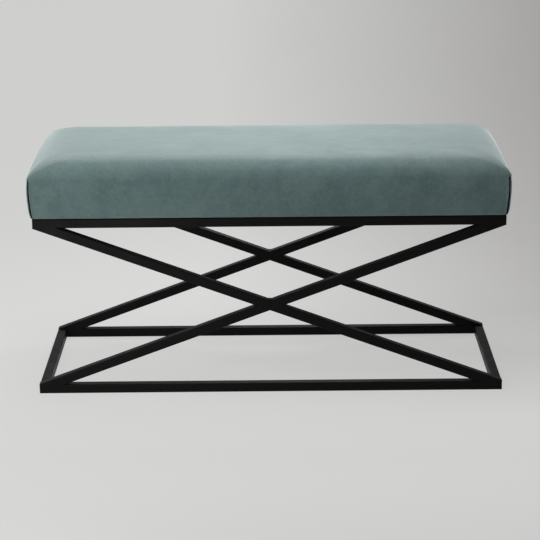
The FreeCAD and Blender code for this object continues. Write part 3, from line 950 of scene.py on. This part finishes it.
@dataclass
class SeatForm:
    """The seat's outer form, as rings of points from its hem to its crown."""

    half_length: float
    half_width: float
    underside: float
    end_bulge: float = 3.5 * MM
    mesh_gap: float = 8 * MM
    hem: float = 30 * MM
    pleat_foot: tuple[float, float] = (0.0, 14 * MM)
    pleat_head: tuple[float, float] = (87.5 * MM, 74 * MM)
    pleat_narrow: tuple[float, float] = (0.3, 0.2)
    pleat_slit: float = 4.5 * MM
    pleat_squeezed: tuple[float, float] = (2.2 * MM, 7 * MM)
    pleat_least_depth: float = 0.35
    pleat_reach: tuple[float, float] = (16.1 * MM, 8 * MM)
    ear_rise: float = 86 * MM
    ear_reach: float = 1.3 * MM
    ear_spread: float = 5 * MM
    corner_margin: float = 6 * MM
    crown: float = 0.8 * MM
    least_corner: float = 0.0
    curve_steps: int = 2000
    least_rings: int = 8
    crowding: float = 2.6
    crowded_shoulder: float = 9 * MM
    crowded_foot: float = 5 * MM
    bevel_start: tuple[float, float] = (84 * MM, 90 * MM)
    bevel_end: tuple[float, float] = (121 * MM, 117 * MM)
    levels: tuple[Level, ...] = SEAT_LEVELS
    columns: int = field(init=False, default=0)
    corner_column: int = field(init=False, default=0)

    def rings(self, skin: float) -> np.ndarray:
        """Heights of the rings, with their insets and corner radii.

        Args:
            skin: How far the form is drawn in from the seat's surface.

        Returns:
            One rise, inset and corner radius a ring, in metres.
        """
        table = np.array([(row.rise, row.inset, row.corner) for row in self.levels]) * MM
        chords = np.hypot(np.diff(table[:, 0]), np.diff(table[:, 1]))
        along = np.concatenate([[0], np.cumsum(chords)])
        fine = np.linspace(0, along[-1], self.curve_steps)
        curves = [monotone_curve(along, table[:, part], fine) for part in range(3)]
        rise = curves[0]
        shoulder = np.exp(-(((rise - self.ear_rise) / self.crowded_shoulder) ** 2))
        foot = np.exp(-((rise / self.crowded_foot) ** 2))
        bevel = smooth_step(rise, *self.bevel_start) * smooth_step(rise, *self.bevel_end)
        tight = self.crowding * shoulder + self.crowding * foot + bevel
        tight = np.clip(tight, 0, self.crowding)
        density = (1 + tight) / self.mesh_gap
        count = np.concatenate([[0], np.cumsum(density[:-1] * np.diff(fine))])
        steps = max(self.least_rings, round(count[-1]))
        places = np.interp(np.linspace(0, count[-1], steps + 1), count, fine)
        picked = np.stack([np.interp(places, fine, curve) for curve in curves], axis=1)
        picked[:, 1] += skin
        return picked

    def quarter_points(
        self, rise: float, inset: float, corner: float, pleated: bool
    ) -> np.ndarray:
        """One ring's points from the middle of the front to that of the end.

        Args:
            rise: Height above the seat's underside.
            inset: How far in from the widest outline.
            corner: Corner radius in plan.
            pleated: Whether the corner is folded into a pleat.

        Returns:
            One x and y a column.
        """
        outline = Outline(
            self.half_length - inset,
            self.half_width - inset,
            max(corner, self.least_corner),
            self.end_bulge,
        )
        middle = outline.corner_middle
        round_reach = outline.arc / 2 + self.corner_margin
        front_reach, end_reach = (max(reach, round_reach) for reach in self.pleat_reach)
        front_count = round(self.half_length / self.mesh_gap)
        end_count = round(self.half_width / self.mesh_gap)
        fold_count = len(PLEAT_SECTION)
        front = np.linspace(0, middle - front_reach, front_count, endpoint=False)
        fold = np.linspace(-front_reach, end_reach, fold_count)
        end = np.linspace(middle + end_reach, outline.quarter, end_count + 1)[1:]
        self.columns = front_count + fold_count + end_count
        self.corner_column = front_count + fold_count // 2
        points = outline.walk(np.concatenate([front, middle + fold, end]))
        corner_part = slice(front_count, front_count + fold_count)
        nose = self.ear_reach * math.exp(-(((rise - self.ear_rise) / self.ear_spread) ** 2))
        near = np.exp(-((fold / self.ear_spread) ** 2))[:, None]
        points[corner_part] += nose * near * np.array([1.0, -1.0]) / math.sqrt(2)
        if pleated:
            shape = self.pleat(rise, outline)
            hold = self.pleat_hold(rise)[:, None]
            points[corner_part] += hold * (shape - points[corner_part])
        return points

    def pleat_hold(self, rise: float) -> np.ndarray:
        """Find how firmly the corner follows the pleat at a height.

        Args:
            rise: Height above the seat's underside.

        Returns:
            A share for each column of the corner.
        """
        strength = smooth_step(rise, *self.pleat_head) ** 0.5
        return strength * np.array([point[2] for point in PLEAT_SECTION])

    def pleat(self, rise: float, outline: Outline) -> np.ndarray:
        """Plan points of the pleat at one height.

        Args:
            rise: Height above the seat's underside.
            outline: The seat's outline at that height.

        Returns:
            One x and y a column of the corner.
        """
        section = np.array(PLEAT_SECTION)[:, :2] * MM
        narrow_foot, narrow_head = self.pleat_narrow
        foot = narrow_foot + (1 - narrow_foot) * smooth_step(rise, *self.pleat_foot)
        head = narrow_head + (1 - narrow_head) * smooth_step(rise, *self.pleat_head)
        width = float(foot * head)
        from_slit = section[:, 0] - self.pleat_slit
        squeezed = smooth_step(np.abs(from_slit), *self.pleat_squeezed)
        across = self.pleat_slit + from_slit * (width + (1 - width) * squeezed)
        least = self.pleat_least_depth
        depth = section[:, 1] * (least + (1 - least) * width)
        end_x = outline.hub[0] + outline.corner
        return np.stack([end_x - across, depth - outline.half_width], axis=1)

    def ring(self, rise: float, inset: float, corner: float, pleated: bool) -> np.ndarray:
        """Build a whole ring from its quarter.

        Args:
            rise: Height above the seat's underside.
            inset: How far in from the widest outline.
            corner: Corner radius in plan.
            pleated: Whether the corners are folded into pleats.

        Returns:
            Points from the middle of the front by way of the right end.
        """
        quarter = self.quarter_points(rise, inset, corner, pleated)
        mirror_x, mirror_y = np.array([-1, 1]), np.array([1, -1])
        rear_right = (quarter * mirror_y)[::-1][1:]
        rear_left = (quarter * mirror_x * mirror_y)[1:]
        front_left = (quarter * mirror_x)[::-1][1:-1]
        flat = np.concatenate([quarter, rear_right, rear_left, front_left])
        return np.column_stack([flat, np.full(len(flat), self.underside + rise)])

    def patch(self, loop: np.ndarray) -> np.ndarray:
        """Fill a ring with a grid of points between its four corners.

        Args:
            loop: The ring's points.

        Returns:
            Grid of points, one row a column of the front.
        """
        side = self.columns - 1
        column = self.corner_column
        count = len(loop)
        front = [index % count for index in range(-column, column + 1)]
        right = list(range(column, 2 * side - column + 1))
        rear = list(range(2 * side - column, 2 * side + column + 1))[::-1]
        left = list(range(2 * side + column, 4 * side - column + 1))[::-1]
        across = np.linspace(0, 1, len(front))[:, None, None]
        up = np.linspace(0, 1, len(right))[None, :, None]
        front_line, rear_line = loop[front][:, None], loop[rear][:, None]
        left_line, right_line = loop[left][None], loop[right][None]
        corners = (
            (1 - across) * (1 - up) * loop[front[0]]
            + across * (1 - up) * loop[front[-1]]
            + (1 - across) * up * loop[rear[0]]
            + across * up * loop[rear[-1]]
        )
        sides = (1 - across) * left_line + across * right_line
        return (1 - up) * front_line + up * rear_line + sides - corners

    def surface(
        self, skin: float = 0.0, pleated: bool = False, closed: bool = False, foot: float = 0.0
    ) -> Surface:
        """Build the form as one surface.

        Args:
            skin: How far it is drawn in from the seat's surface.
            pleated: Whether the corners are folded into pleats.
            closed: Whether the underside is filled in.
            foot: How far its underside is raised.

        Returns:
            The surface, faces outward.
        """
        levels = self.rings(skin)
        top_rise = levels[-1, 0]
        levels[:, 0] = foot + levels[:, 0] * (top_rise - foot - skin) / top_rise
        under = HEM_RINGS if self.hem else ()
        inner = levels[0, 1] + self.hem
        turned = [
            (levels[0, 0], inner + (levels[0, 1] - inner) * (1 - share), levels[0, 2])
            for share in under
        ]
        rows = [self.ring(*row, pleated=False) for row in turned]
        rows += [self.ring(*row, pleated=pleated) for row in levels]
        count = len(rows[0])
        faces = grid_faces(len(rows), count, closed=True)
        points = np.concatenate(rows)
        points, faces = self.cap(points, faces, (len(rows) - 1) * count, count, top=True)
        if closed:
            points, faces = self.cap(points, faces, 0, count, top=False)
        return Surface(points, faces)

    def cap(
        self,
        points: np.ndarray,
        faces: list[tuple[int, ...]],
        first: int,
        count: int,
        top: bool,
    ) -> tuple[np.ndarray, list[tuple[int, ...]]]:
        """Close a ring of the surface with a grid.

        Args:
            points: The surface's points.
            faces: The surface's faces.
            first: Index of the ring's first point.
            count: How many points the ring has.
            top: Whether this is the crown, which is domed, or the underside.

        Returns:
            The surface's points and faces, with the grid's added.
        """
        loop = points[first : first + count]
        grid = self.patch(loop)
        wide, deep = grid.shape[:2]
        if top:
            across = np.linspace(-1, 1, wide)[:, None]
            along = np.linspace(-1, 1, deep)[None]
            grid[:, :, 2] += self.crown * (1 - across**2) * (1 - along**2)
        side = self.columns - 1
        column = self.corner_column
        index = np.full((wide, deep), -1)
        for step in range(wide):
            index[step, 0] = first + (step - column) % count
            index[step, -1] = first + (2 * side + column - step) % count
        for step in range(deep):
            index[-1, step] = first + column + step
            index[0, step] = first + (4 * side - column - step) % count
        inside = index < 0
        index[inside] = len(points) + np.arange(inside.sum())
        points = np.concatenate([points, grid[inside]])
        quads = []
        for step in range(wide - 1):
            for level in range(deep - 1):
                quad = (
                    index[step, level],
                    index[step + 1, level],
                    index[step + 1, level + 1],
                    index[step, level + 1],
                )
                quads.append(tuple(int(i) for i in (quad if top else quad[::-1])))
        return points, faces + quads


@dataclass
class Swelling:
    """How the padding pushes the cover out, from a cloth simulation."""

    form: SeatForm
    start_inset: float = 0.7 * MM
    voxel: float = 6 * MM
    pressure: float = 4.0
    foam_hold: float = 0.3
    foam_patches: float = 0.7
    foam_patch: float = 0.10
    foam_stiffness: float = 0.15
    most: float = 4 * MM
    frames: int = 20
    held_below: float = 3 * MM
    full_above: float = 34 * MM
    neighbours: int = 5
    least_distance: float = 0.5 * MM
    quality: int = 5
    tree: KDTree | None = None
    moves: np.ndarray | None = None

    def drawn_in(self, surface: Surface) -> np.ndarray:
        """Find how far each point starts in from the seat's surface.

        Args:
            surface: A form of the seat, without its pleats.

        Returns:
            One inward move a point.
        """
        rise = surface.points[:, 2] - self.form.underside
        share = smooth_step(rise, self.held_below, self.full_above)[:, None]
        return -self.start_inset * share * surface.normals()

    def run(self) -> None:
        """Blow the seat up from its drawn-in form and keep how it moved."""
        plain = self.form.surface(closed=True)
        start = Surface(plain.points + self.drawn_in(plain), plain.faces)
        bag = start.piece("swelling_bag")
        remesh = bag.modifiers.new("voxels", "REMESH")
        remesh.mode = "VOXEL"
        remesh.voxel_size = self.voxel
        apply_modifiers(bag)
        rest = vertex_places(bag.data)
        self.make_cloth(bag, rest)
        scene = bpy.context.scene
        for step in range(1, self.frames + 1):
            scene.frame_set(step)
        graph = bpy.context.evaluated_depsgraph_get()
        move = vertex_places(bag.evaluated_get(graph).data) - rest
        length = np.maximum(np.linalg.norm(move, axis=1, keepdims=True), 1e-9)
        move *= self.most * np.tanh(length / self.most) / length
        scene.frame_set(1)
        bpy.data.objects.remove(bag)
        self.keep(rest, move)
        LOG.info("swelling: %d points, most %.1f mm", len(rest), float(length.max()) / MM)

    def make_cloth(self, bag: bpy.types.Object, rest: np.ndarray) -> None:
        """Turn the bag into cloth under pressure, held at its hem and by its foam.

        Args:
            bag: The bag's piece.
            rest: Where its vertices are before it swells.
        """
        limit = self.form.underside + self.held_below
        held = bag.vertex_groups.new(name="held")
        for index, point in enumerate(rest):
            patch = 1 + self.foam_patches * noise.noise(Vector(point) / self.foam_patch)
            held.add([index], 1.0 if point[2] < limit else self.foam_hold * patch, "REPLACE")
        cloth = bag.modifiers.new("cloth", "CLOTH")
        settings = cloth.settings
        settings.use_pressure = True
        settings.uniform_pressure_force = self.pressure
        settings.vertex_group_mass = held.name
        settings.pin_stiffness = self.foam_stiffness
        settings.effector_weights.gravity = 0.0
        settings.quality = self.quality
        cloth.point_cache.frame_end = self.frames

    def keep(self, rest: np.ndarray, move: np.ndarray) -> None:
        """Store the moves so that any nearby point can look them up.

        Args:
            rest: Points before they moved.
            move: One move a point.
        """
        self.tree = KDTree(len(rest))
        for index, point in enumerate(rest):
            self.tree.insert(point, index)
        self.tree.balance()
        self.moves = move

    def at(self, surface: Surface) -> np.ndarray:
        """Find how far the padding carries each point of a surface.

        Args:
            surface: A form of the seat, without its pleats.

        Returns:
            One move a point, or none where the simulation was skipped.
        """
        if self.tree is None:
            return np.zeros_like(surface.points)
        inward = self.drawn_in(surface)
        start = surface.points + inward
        carried = np.zeros_like(start)
        for index, point in enumerate(start):
            found = self.tree.find_n(point, self.neighbours)
            weights = np.array([1 / (hit[2] + self.least_distance) for hit in found])
            moves = self.moves[[hit[1] for hit in found]]
            carried[index] = weights @ moves / weights.sum()
        return inward + carried


@dataclass
class VelvetSeat:
    """The seat: velvet cover with folded corners, wadding and foam."""

    cloth: float = 1.4 * MM
    wadding: float = 5 * MM
    board_top: float = 16.4 * MM
    waviness: float = 0.45 * MM
    wave: float = 0.09
    fine_wave: float = 0.4
    loose_from: tuple[float, float] = (2 * MM, 20 * MM)
    padding_gap: float = 16 * MM
    clearance: float = 0.4 * MM
    trimmed_corner: float = 31 * MM
    depth_mark: str = "depth_in_pleat"
    # Depth into a pleat past which shade is painted on the pile.
    painted_shade_from: float = 2.4 * MM
    droop: float = 4 * MM
    droop_rise: float = 18 * MM
    droop_reach: tuple[float, float] = (24 * MM, 16 * MM)
    droop_edge: tuple[float, float] = (0.6 * MM, 2.6 * MM)
    form: SeatForm = field(init=False)
    swelling: Swelling = field(init=False)

    def __post_init__(self) -> None:
        """Take the seat's size and place from the model."""
        low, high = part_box("velvet_cover")
        self.form = SeatForm(high.x, high.y, low.z)
        self.swelling = Swelling(self.form)

    def build(self) -> None:
        """Make the cover, the wadding and the foam."""
        self.swelling.run()
        self.make_cover()
        self.make_wadding()
        self.make_foam()

    def uneven(self, points: np.ndarray) -> np.ndarray:
        """Find the height of the slow waves in the padding.

        Args:
            points: Where to read them.

        Returns:
            One height a point, as a column.
        """
        waves = [noise.noise(Vector(point) / self.wave) for point in points]
        fine = [noise.noise(Vector(point) / (self.fine_wave * self.wave)) for point in points]
        return self.waviness * (np.array(waves) + self.fine_wave * np.array(fine))[:, None]

    def corner_droop(self, points: np.ndarray) -> np.ndarray:
        """Find how far the cover's lower corners hang down past the frame's edge.

        Args:
            points: Points of the cover.

        Returns:
            One downward move a point.
        """
        past_edge = np.zeros(len(points))
        near = np.ones(len(points))
        edges = (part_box("top_rail_end_plates")[1].x, abs(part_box("front_top_rail")[0].y))
        halves = (self.form.half_length, self.form.half_width)
        begun, full = self.droop_edge
        for axis, (edge, half, reach) in enumerate(zip(edges, halves, self.droop_reach)):
            out = np.abs(points[:, axis])
            past_edge = np.maximum(past_edge, smooth_step(out, edge + begun, edge + full))
            near *= np.exp(-(((out - half) / reach) ** 2))
        low = 1 - smooth_step(points[:, 2] - self.form.underside, 0.0, self.droop_rise)
        down = np.zeros_like(points)
        down[:, 2] = -self.droop * past_edge * near * low
        return down

    def make_cover(self) -> None:
        """Fold, swell and thicken the velvet cover."""
        plain = self.form.surface()
        folded = self.form.surface(pleated=True)
        rise = (plain.points[:, 2] - self.form.underside)[:, None]
        loose = smooth_step(rise, *self.loose_from)
        inward = -((folded.points - plain.points) * plain.normals()).sum(axis=1)
        folded.points += self.swelling.at(plain)
        folded.points += loose * self.uneven(plain.points) * plain.normals()
        folded.points += self.corner_droop(plain.points)
        cover = folded.piece("velvet_seat_cover")
        # Depth of every point into its pleat, which decides where the pleat shade is painted.
        depth = cover.data.attributes.new(self.depth_mark, "FLOAT", "POINT")
        depth.data.foreach_set("value", inward.astype(np.float32))
        thicken(cover, self.cloth)
        finish_piece(cover, VELVET, ["velvet_cover"])
        self.shade_pleats(cover)

    def shade_pleats(self, cover: bpy.types.Object) -> None:
        """Paint shade on the pile that lies deep in the pleats, with a dark, nearly sheenless
        copy of the velvet.

        Args:
            cover: The cover, which carries the depth of its every point.
        """
        mesh = cover.data
        depth = np.empty(len(mesh.vertices), np.float32)
        mesh.attributes[self.depth_mark].data.foreach_get("value", depth)
        corners = np.empty(len(mesh.loops), np.int32)
        mesh.loops.foreach_get("vertex_index", corners)
        starts = np.empty(len(mesh.polygons), np.int32)
        mesh.polygons.foreach_get("loop_start", starts)
        counts = np.diff(np.append(starts, len(corners)))
        # Faces that lie deeper in the pleat than this get the painted shade.
        deep = np.add.reduceat(depth[corners], starts) / counts > self.painted_shade_from
        mesh.materials.append(PAINTED_PLEAT_SHADE.material())
        mesh.polygons.foreach_set("material_index", deep.astype(np.int32))

    def padding_form(self) -> SeatForm:
        """Take the seat's form without its hem, with wide corners for the pleats.

        Returns:
            The form that the wadding and the foam are cut to.
        """
        return SeatForm(
            self.form.half_length,
            self.form.half_width,
            self.form.underside,
            mesh_gap=self.padding_gap,
            hem=0.0,
            least_corner=self.trimmed_corner,
        )

    def make_wadding(self) -> None:
        """Lay the wadding over the foam, a little uneven."""
        skin = self.cloth + self.clearance
        outer = self.padding_form().surface(skin=skin, foot=skin)
        outer.points += self.swelling.at(outer)
        fleece = outer.piece("polyester_wadding_layer")
        thicken(fleece, self.wadding - 2 * self.clearance)
        finish_piece(fleece, WADDING, ["wadding_layer"])

    def make_foam(self) -> None:
        """Cut the bevelled foam block that sits on the board."""
        skin = self.cloth + self.wadding + self.clearance
        block = self.padding_form().surface(skin=skin, foot=self.board_top, closed=True)
        foam = block.piece("bevelled_foam_block")
        finish_piece(foam, FOAM, ["foam_block"])


@dataclass
class DustCloth:
    """Thin black cloth under the seat, pulled flat and stapled at its edge."""

    mesh_gap: float = 9 * MM
    thickness: float = 0.4 * MM
    lift: float = 0.18 * MM
    sag: float = 2.2 * MM
    ripple: float = 0.25 * MM
    wrinkle: float = 0.05
    free_length: tuple[float, float] = (0.44, 0.2)
    free_width: tuple[float, float] = (0.146, 0.03)

    def build(self) -> None:
        """Make the cloth with its sag and its fine ripples."""
        low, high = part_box("dust_cover")
        across = np.linspace(low.x, high.x, round((high.x - low.x) / self.mesh_gap) + 1)
        along = np.linspace(low.y, high.y, round((high.y - low.y) / self.mesh_gap) + 1)
        x, y = (part.ravel() for part in np.meshgrid(across, along, indexing="ij"))
        free = smooth_step(np.abs(x), *self.free_length)
        free = free * smooth_step(np.abs(y), *self.free_width)
        spots = [Vector((a, 2 * b, 0.3)) / self.wrinkle for a, b in zip(x, y)]
        waves = np.array([noise.noise(spot) for spot in spots])
        down = free * (self.sag + self.ripple * waves)
        z = low.z + self.lift + self.thickness - down
        faces = grid_faces(len(across), len(along))
        cloth = Surface(np.column_stack([x, y, z]), faces).piece("black_dust_cloth")
        thicken(cloth, self.thickness, outward=True, finer=False)
        finish_piece(cloth, DUST_CLOTH, ["dust_cover"])


@dataclass(frozen=True)
class Bead:
    """One fillet weld: where it runs, and the two faces that it joins."""

    start: Place
    end: Place
    first_face: Place
    second_face: Place
    leg: float = 3 * MM


@dataclass
class SteelFrame:
    """The welded frame: coated tubes and plates, with rippled weld beads."""

    ripple_gap: float = 1.7 * MM
    ripple_height: float = 0.28 * MM
    sides: int = 7
    steps_per_ripple: int = 5
    least_ripples: int = 3
    root: float = 0.3 * MM
    end_size: float = 0.35
    end_growth: float = 4
    flattening: float = 0.2
    lean: float = 0.5
    curl: float = 0.4
    corner_margin: float = 2 * MM
    tab_half: float = 20 * MM
    tab_margin: float = 5 * MM
    tab_leg: float = 2.4 * MM
    diagonal_slope: float = 20.37
    crossing_margin: float = 1.5 * MM
    crossing_leg: float = 5.5 * MM
    levels: tuple[str, ...] = ("top", "bottom")
    panels: tuple[str, ...] = ("front", "rear")
    ends: tuple[str, ...] = ("left", "right")
    diagonals: tuple[str, ...] = ("long", "upper_half", "lower_half")

    def coated(self) -> list[str]:
        """Name the model's pieces that show the coat as they are.

        Returns:
            Rails, end plates, diagonals, ground welds and tabs.
        """
        names = ["seat_fixing_tabs", "diagonal_foot_welds"]
        for level in self.levels:
            names += [f"{panel}_{level}_rail" for panel in self.panels]
            names += [f"{end}_{level}_cross_rail" for end in self.ends]
            names.append(f"{level}_rail_end_plates")
        for panel in self.panels:
            names += [f"{panel}_{part}_diagonal" for part in self.diagonals]
            names.append(f"{panel}_crossing_welds")
        return names

    def build(self) -> None:
        """Coat the tubes and lay the beads."""
        dress(self.coated(), FRAME_BLACK)
        self.lay(self.corner_beads(), "frame_corner_weld_beads", ["frame_corner_welds"])
        self.lay(self.tab_beads(), "fixing_tab_weld_beads", [])
        self.lay(self.crossing_beads(), "crossing_weld_beads", [])

    def corner_beads(self) -> list[Bead]:
        """Place upright beads inside the corners of the upper and lower rails.

        Returns:
            Four beads for each level of the frame.
        """
        beads = []
        inner_x = abs(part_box("left_top_cross_rail")[1].x)
        inner_y = abs(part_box("front_top_rail")[1].y)
        for level in self.levels:
            low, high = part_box(f"front_{level}_rail")
            foot, head = low.z + self.corner_margin, high.z - self.corner_margin
            for side_x, side_y in product((-1, 1), repeat=2):
                x, y = side_x * inner_x, side_y * inner_y
                walls = (-side_x, 0, 0), (0, -side_y, 0)
                beads.append(Bead((x, y, foot), (x, y, head), *walls))
        return beads

    def tab_beads(self) -> list[Bead]:
        """Place beads under the root of every seat fixing tab.

        Returns:
            One bead a tab.
        """
        low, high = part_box("seat_fixing_tabs")
        inner_y = abs(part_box("front_top_rail")[1].y)
        beads = []
        for middle in (low.x + self.tab_half, 0.0, high.x - self.tab_half):
            left = middle - self.tab_half + self.tab_margin
            right = middle + self.tab_half - self.tab_margin
            for side_y in (-1, 1):
                y = side_y * inner_y
                walls = (0, -side_y, 0), (0, 0, -1)
                beads.append(Bead((left, y, low.z), (right, y, low.z), *walls, self.tab_leg))
        return beads

    def crossing_beads(self) -> list[Bead]:
        """Place beads in the upper notch of both crossings.

        Returns:
            One bead for the front and one for the rear.
        """
        slope = math.radians(self.diagonal_slope)
        run, rise = math.cos(slope), math.sin(slope)
        beads = []
        for panel in self.panels:
            low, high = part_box(f"{panel}_long_diagonal")
            notch = (low.z + high.z) / 2 + (high.y - low.y) / 2 / run
            front, back = low.y + self.crossing_margin, high.y - self.crossing_margin
            walls = (run, 0, rise), (-run, 0, rise)
            beads.append(Bead((0, front, notch), (0, back, notch), *walls, self.crossing_leg))
        return beads

    def lay(self, beads: Iterable[Bead], name: str, replaced: Sequence[str]) -> None:
        """Model a group of beads as one piece.

        Args:
            beads: The beads.
            name: Name of the piece.
            replaced: Model pieces that it stands for.
        """
        points: list[Vector] = []
        faces: list[tuple[int, ...]] = []
        for bead in beads:
            self.add_bead(bead, points, faces)
        surface = Surface(np.array([tuple(point) for point in points]), faces)
        piece = surface.piece(name)
        mesh = bmesh.new()
        mesh.from_mesh(piece.data)
        bmesh.ops.recalc_face_normals(mesh, faces=mesh.faces)
        mesh.to_mesh(piece.data)
        mesh.free()
        finish_piece(piece, WELD_BLACK, replaced)

    def add_bead(
        self, bead: Bead, points: list[Vector], faces: list[tuple[int, ...]]
    ) -> None:
        """Add one rippled bead to a list of points and faces.

        Args:
            bead: The bead.
            points: Points so far, which the bead's are added to.
            faces: Faces so far, which the bead's are added to.
        """
        start, end = Vector(bead.start), Vector(bead.end)
        first, second = Vector(bead.first_face), Vector(bead.second_face)
        forward = (end - start).normalized()
        ripples = max(self.least_ripples, round((end - start).length / self.ripple_gap))
        steps = ripples * self.steps_per_ripple
        base = len(points)
        ring = self.sides + 2
        for step in range(steps + 1):
            share = step / steps
            phase = math.sin(math.pi * ((share * ripples) % 1.0))
            ripple = self.ripple_height * phase**0.5
            nearest_end = min(share, 1 - share)
            taper = min(1.0, self.end_growth * nearest_end + self.end_size)
            leg = (bead.leg + ripple) * taper
            lean = self.lean * self.ripple_gap * phase
            heart = start.lerp(end, share)
            points.append(heart - self.root * (first + second))
            for side in range(self.sides + 1):
                turn = QUARTER_TURN * side / self.sides
                middle = math.sin(2 * turn)
                swell = 1 - self.flattening * middle
                out = leg * swell * (math.cos(turn) * first + math.sin(turn) * second)
                pushed = forward * lean * middle * self.curl if 0 < step < steps else Vector()
                points.append(heart + out + pushed)
        faces += grid_faces(steps + 1, ring, base, closed=True)
        faces.append(tuple(range(base, base + ring)))
        last = base + steps * ring
        faces.append(tuple(range(last + ring - 1, last - 1, -1)))


@dataclass
class Hardware:
    """Screws, washers, insert nuts, staples and the board they hold."""

    zinc: tuple[str, ...] = ("seat_fixing_screws", "seat_screw_washers", "seat_insert_nuts")
    wire: tuple[str, ...] = ("cover_staples", "dust_cover_staples")
    board: str = "seat_base_board"

    def build(self) -> None:
        """Give every fixing and the board its finish."""
        dress(self.zinc, ZINC)
        dress(self.wire, STAPLE_WIRE)
        dress([self.board], PLYWOOD)


@dataclass(frozen=True)
class Softbox:
    """A rectangular studio lamp that points at a spot."""

    name: str
    place: Place
    target: Place
    size: tuple[float, float]
    watts: float
    colour: Colour = (1.0, 1.0, 1.0)

    def build(self) -> None:
        """Hang the lamp."""
        lamp = bpy.data.lights.new(self.name, "AREA")
        lamp.shape = "RECTANGLE"
        lamp.size, lamp.size_y = self.size
        lamp.energy = self.watts
        lamp.color = self.colour
        hung = place_in_scene(self.name, lamp)
        hung.location = self.place
        aim = Vector(self.target) - Vector(self.place)
        hung.rotation_euler = aim.to_track_quat("-Z", "Y").to_euler()


@dataclass
class Studio:
    """Paper backdrop, lamps and the camera at the photo's angle."""

    eye: Place = (0.0076, -4.0141, 1.4146)
    pan: float = -0.104
    tilt: float = 16.64
    roll: float = 0.539
    lens: float = 125.04
    film: float = 36.0
    paper_width: float = 50.0
    paper_front: float = -25.0
    paper_back: float = 2.6
    paper_bend: float = 1.4
    paper_top: float = 5.0
    bend_steps: int = 24
    sky: Colour = (0.86, 0.87, 0.88)
    sky_strength: float = 0.12
    lamps: tuple[Softbox, ...] = (
        Softbox("key_lamp", (-1.6, -1.2, 1.6), (-0.2, 0.0, 0.4), (0.9, 0.9), 12.0),
        Softbox("side_lamp", (-2.0, -0.9, 0.8), (-0.4, 0.0, 0.3), (0.7, 1.2), 12.0),
        Softbox("top_lamp", (-0.4, -0.2, 3.0), (0.0, 0.0, 0.4), (2.0, 1.5), 42.0),
        Softbox("front_lamp", (-0.3, -1.8, 3.0), (0.0, 0.0, 0.4), (1.5, 1.0), 6.0),
        Softbox("rear_lamp", (0.06, 0.50, 1.25), (0.04, 0.0, 0.5), (0.35, 0.2), 6.0),
        Softbox("low_rear_lamp", (0.08, 0.95, 1.0), (0.05, 0.0, 0.5), (0.4, 0.25), 4.5),
        Softbox("low_left_lamp", (-0.55, -1.30, 0.12), (-0.35, -0.2, 0.3), (0.3, 0.12), 2.6),
    )

    def build(self) -> None:
        """Set up paper, light and camera."""
        self.make_paper()
        self.light()
        self.aim_camera()

    def make_paper(self) -> None:
        """Roll out paper that runs along the floor and bends up the wall."""
        bend_from = self.paper_back - self.paper_bend
        line = [(self.paper_front, 0.0), (bend_from, 0.0)]
        for step in range(1, self.bend_steps + 1):
            turn = QUARTER_TURN * step / self.bend_steps
            back = bend_from + self.paper_bend * math.sin(turn)
            line.append((back, self.paper_bend * (1 - math.cos(turn))))
        line.append((self.paper_back, self.paper_top))
        half = self.paper_width / 2
        points = np.array([(x, y, z) for y, z in line for x in (-half, half)])
        paper = Surface(points, grid_faces(len(line), 2)).piece("studio_backdrop")
        paint(paper, PAPER.material())

    def light(self) -> None:
        """Hang the lamps in an evenly lit room."""
        world = bpy.data.worlds.new("studio_room")
        world.use_nodes = True
        background = world.node_tree.nodes["Background"]
        background.inputs["Color"].default_value = (*self.sky, 1.0)
        background.inputs["Strength"].default_value = self.sky_strength
        bpy.context.scene.world = world
        for lamp in self.lamps:
            lamp.build()

    def aim_camera(self) -> None:
        """Put the camera where the photo was taken from."""
        pan, tilt, roll = (math.radians(turn) for turn in (self.pan, self.tilt, self.roll))
        forward = Vector(
            (math.sin(pan) * math.cos(tilt), math.cos(pan) * math.cos(tilt), -math.sin(tilt))
        )
        level = Vector((math.cos(pan), -math.sin(pan), 0.0))
        down = forward.cross(level)
        right = math.cos(roll) * level + math.sin(roll) * down
        up = math.sin(roll) * level - math.cos(roll) * down
        data = bpy.data.cameras.new("photo_camera")
        data.lens = self.lens
        data.sensor_width = self.film
        camera = place_in_scene("photo_camera", data)
        turned = Matrix((right, up, -forward)).transposed().to_4x4()
        camera.matrix_world = Matrix.Translation(self.eye) @ turned
        bpy.context.scene.camera = camera


def main() -> None:
    """Dress the bench, piece by piece."""
    logging.basicConfig(level=logging.INFO, format="%(name)s: %(message)s")
    bpy.context.scene.view_settings.view_transform = "Standard"
    Studio().build()
    SteelFrame().build()
    Hardware().build()
    DustCloth().build()
    VelvetSeat().build()
    bpy.context.view_layer.update()


if __name__ == "__main__":
    main()
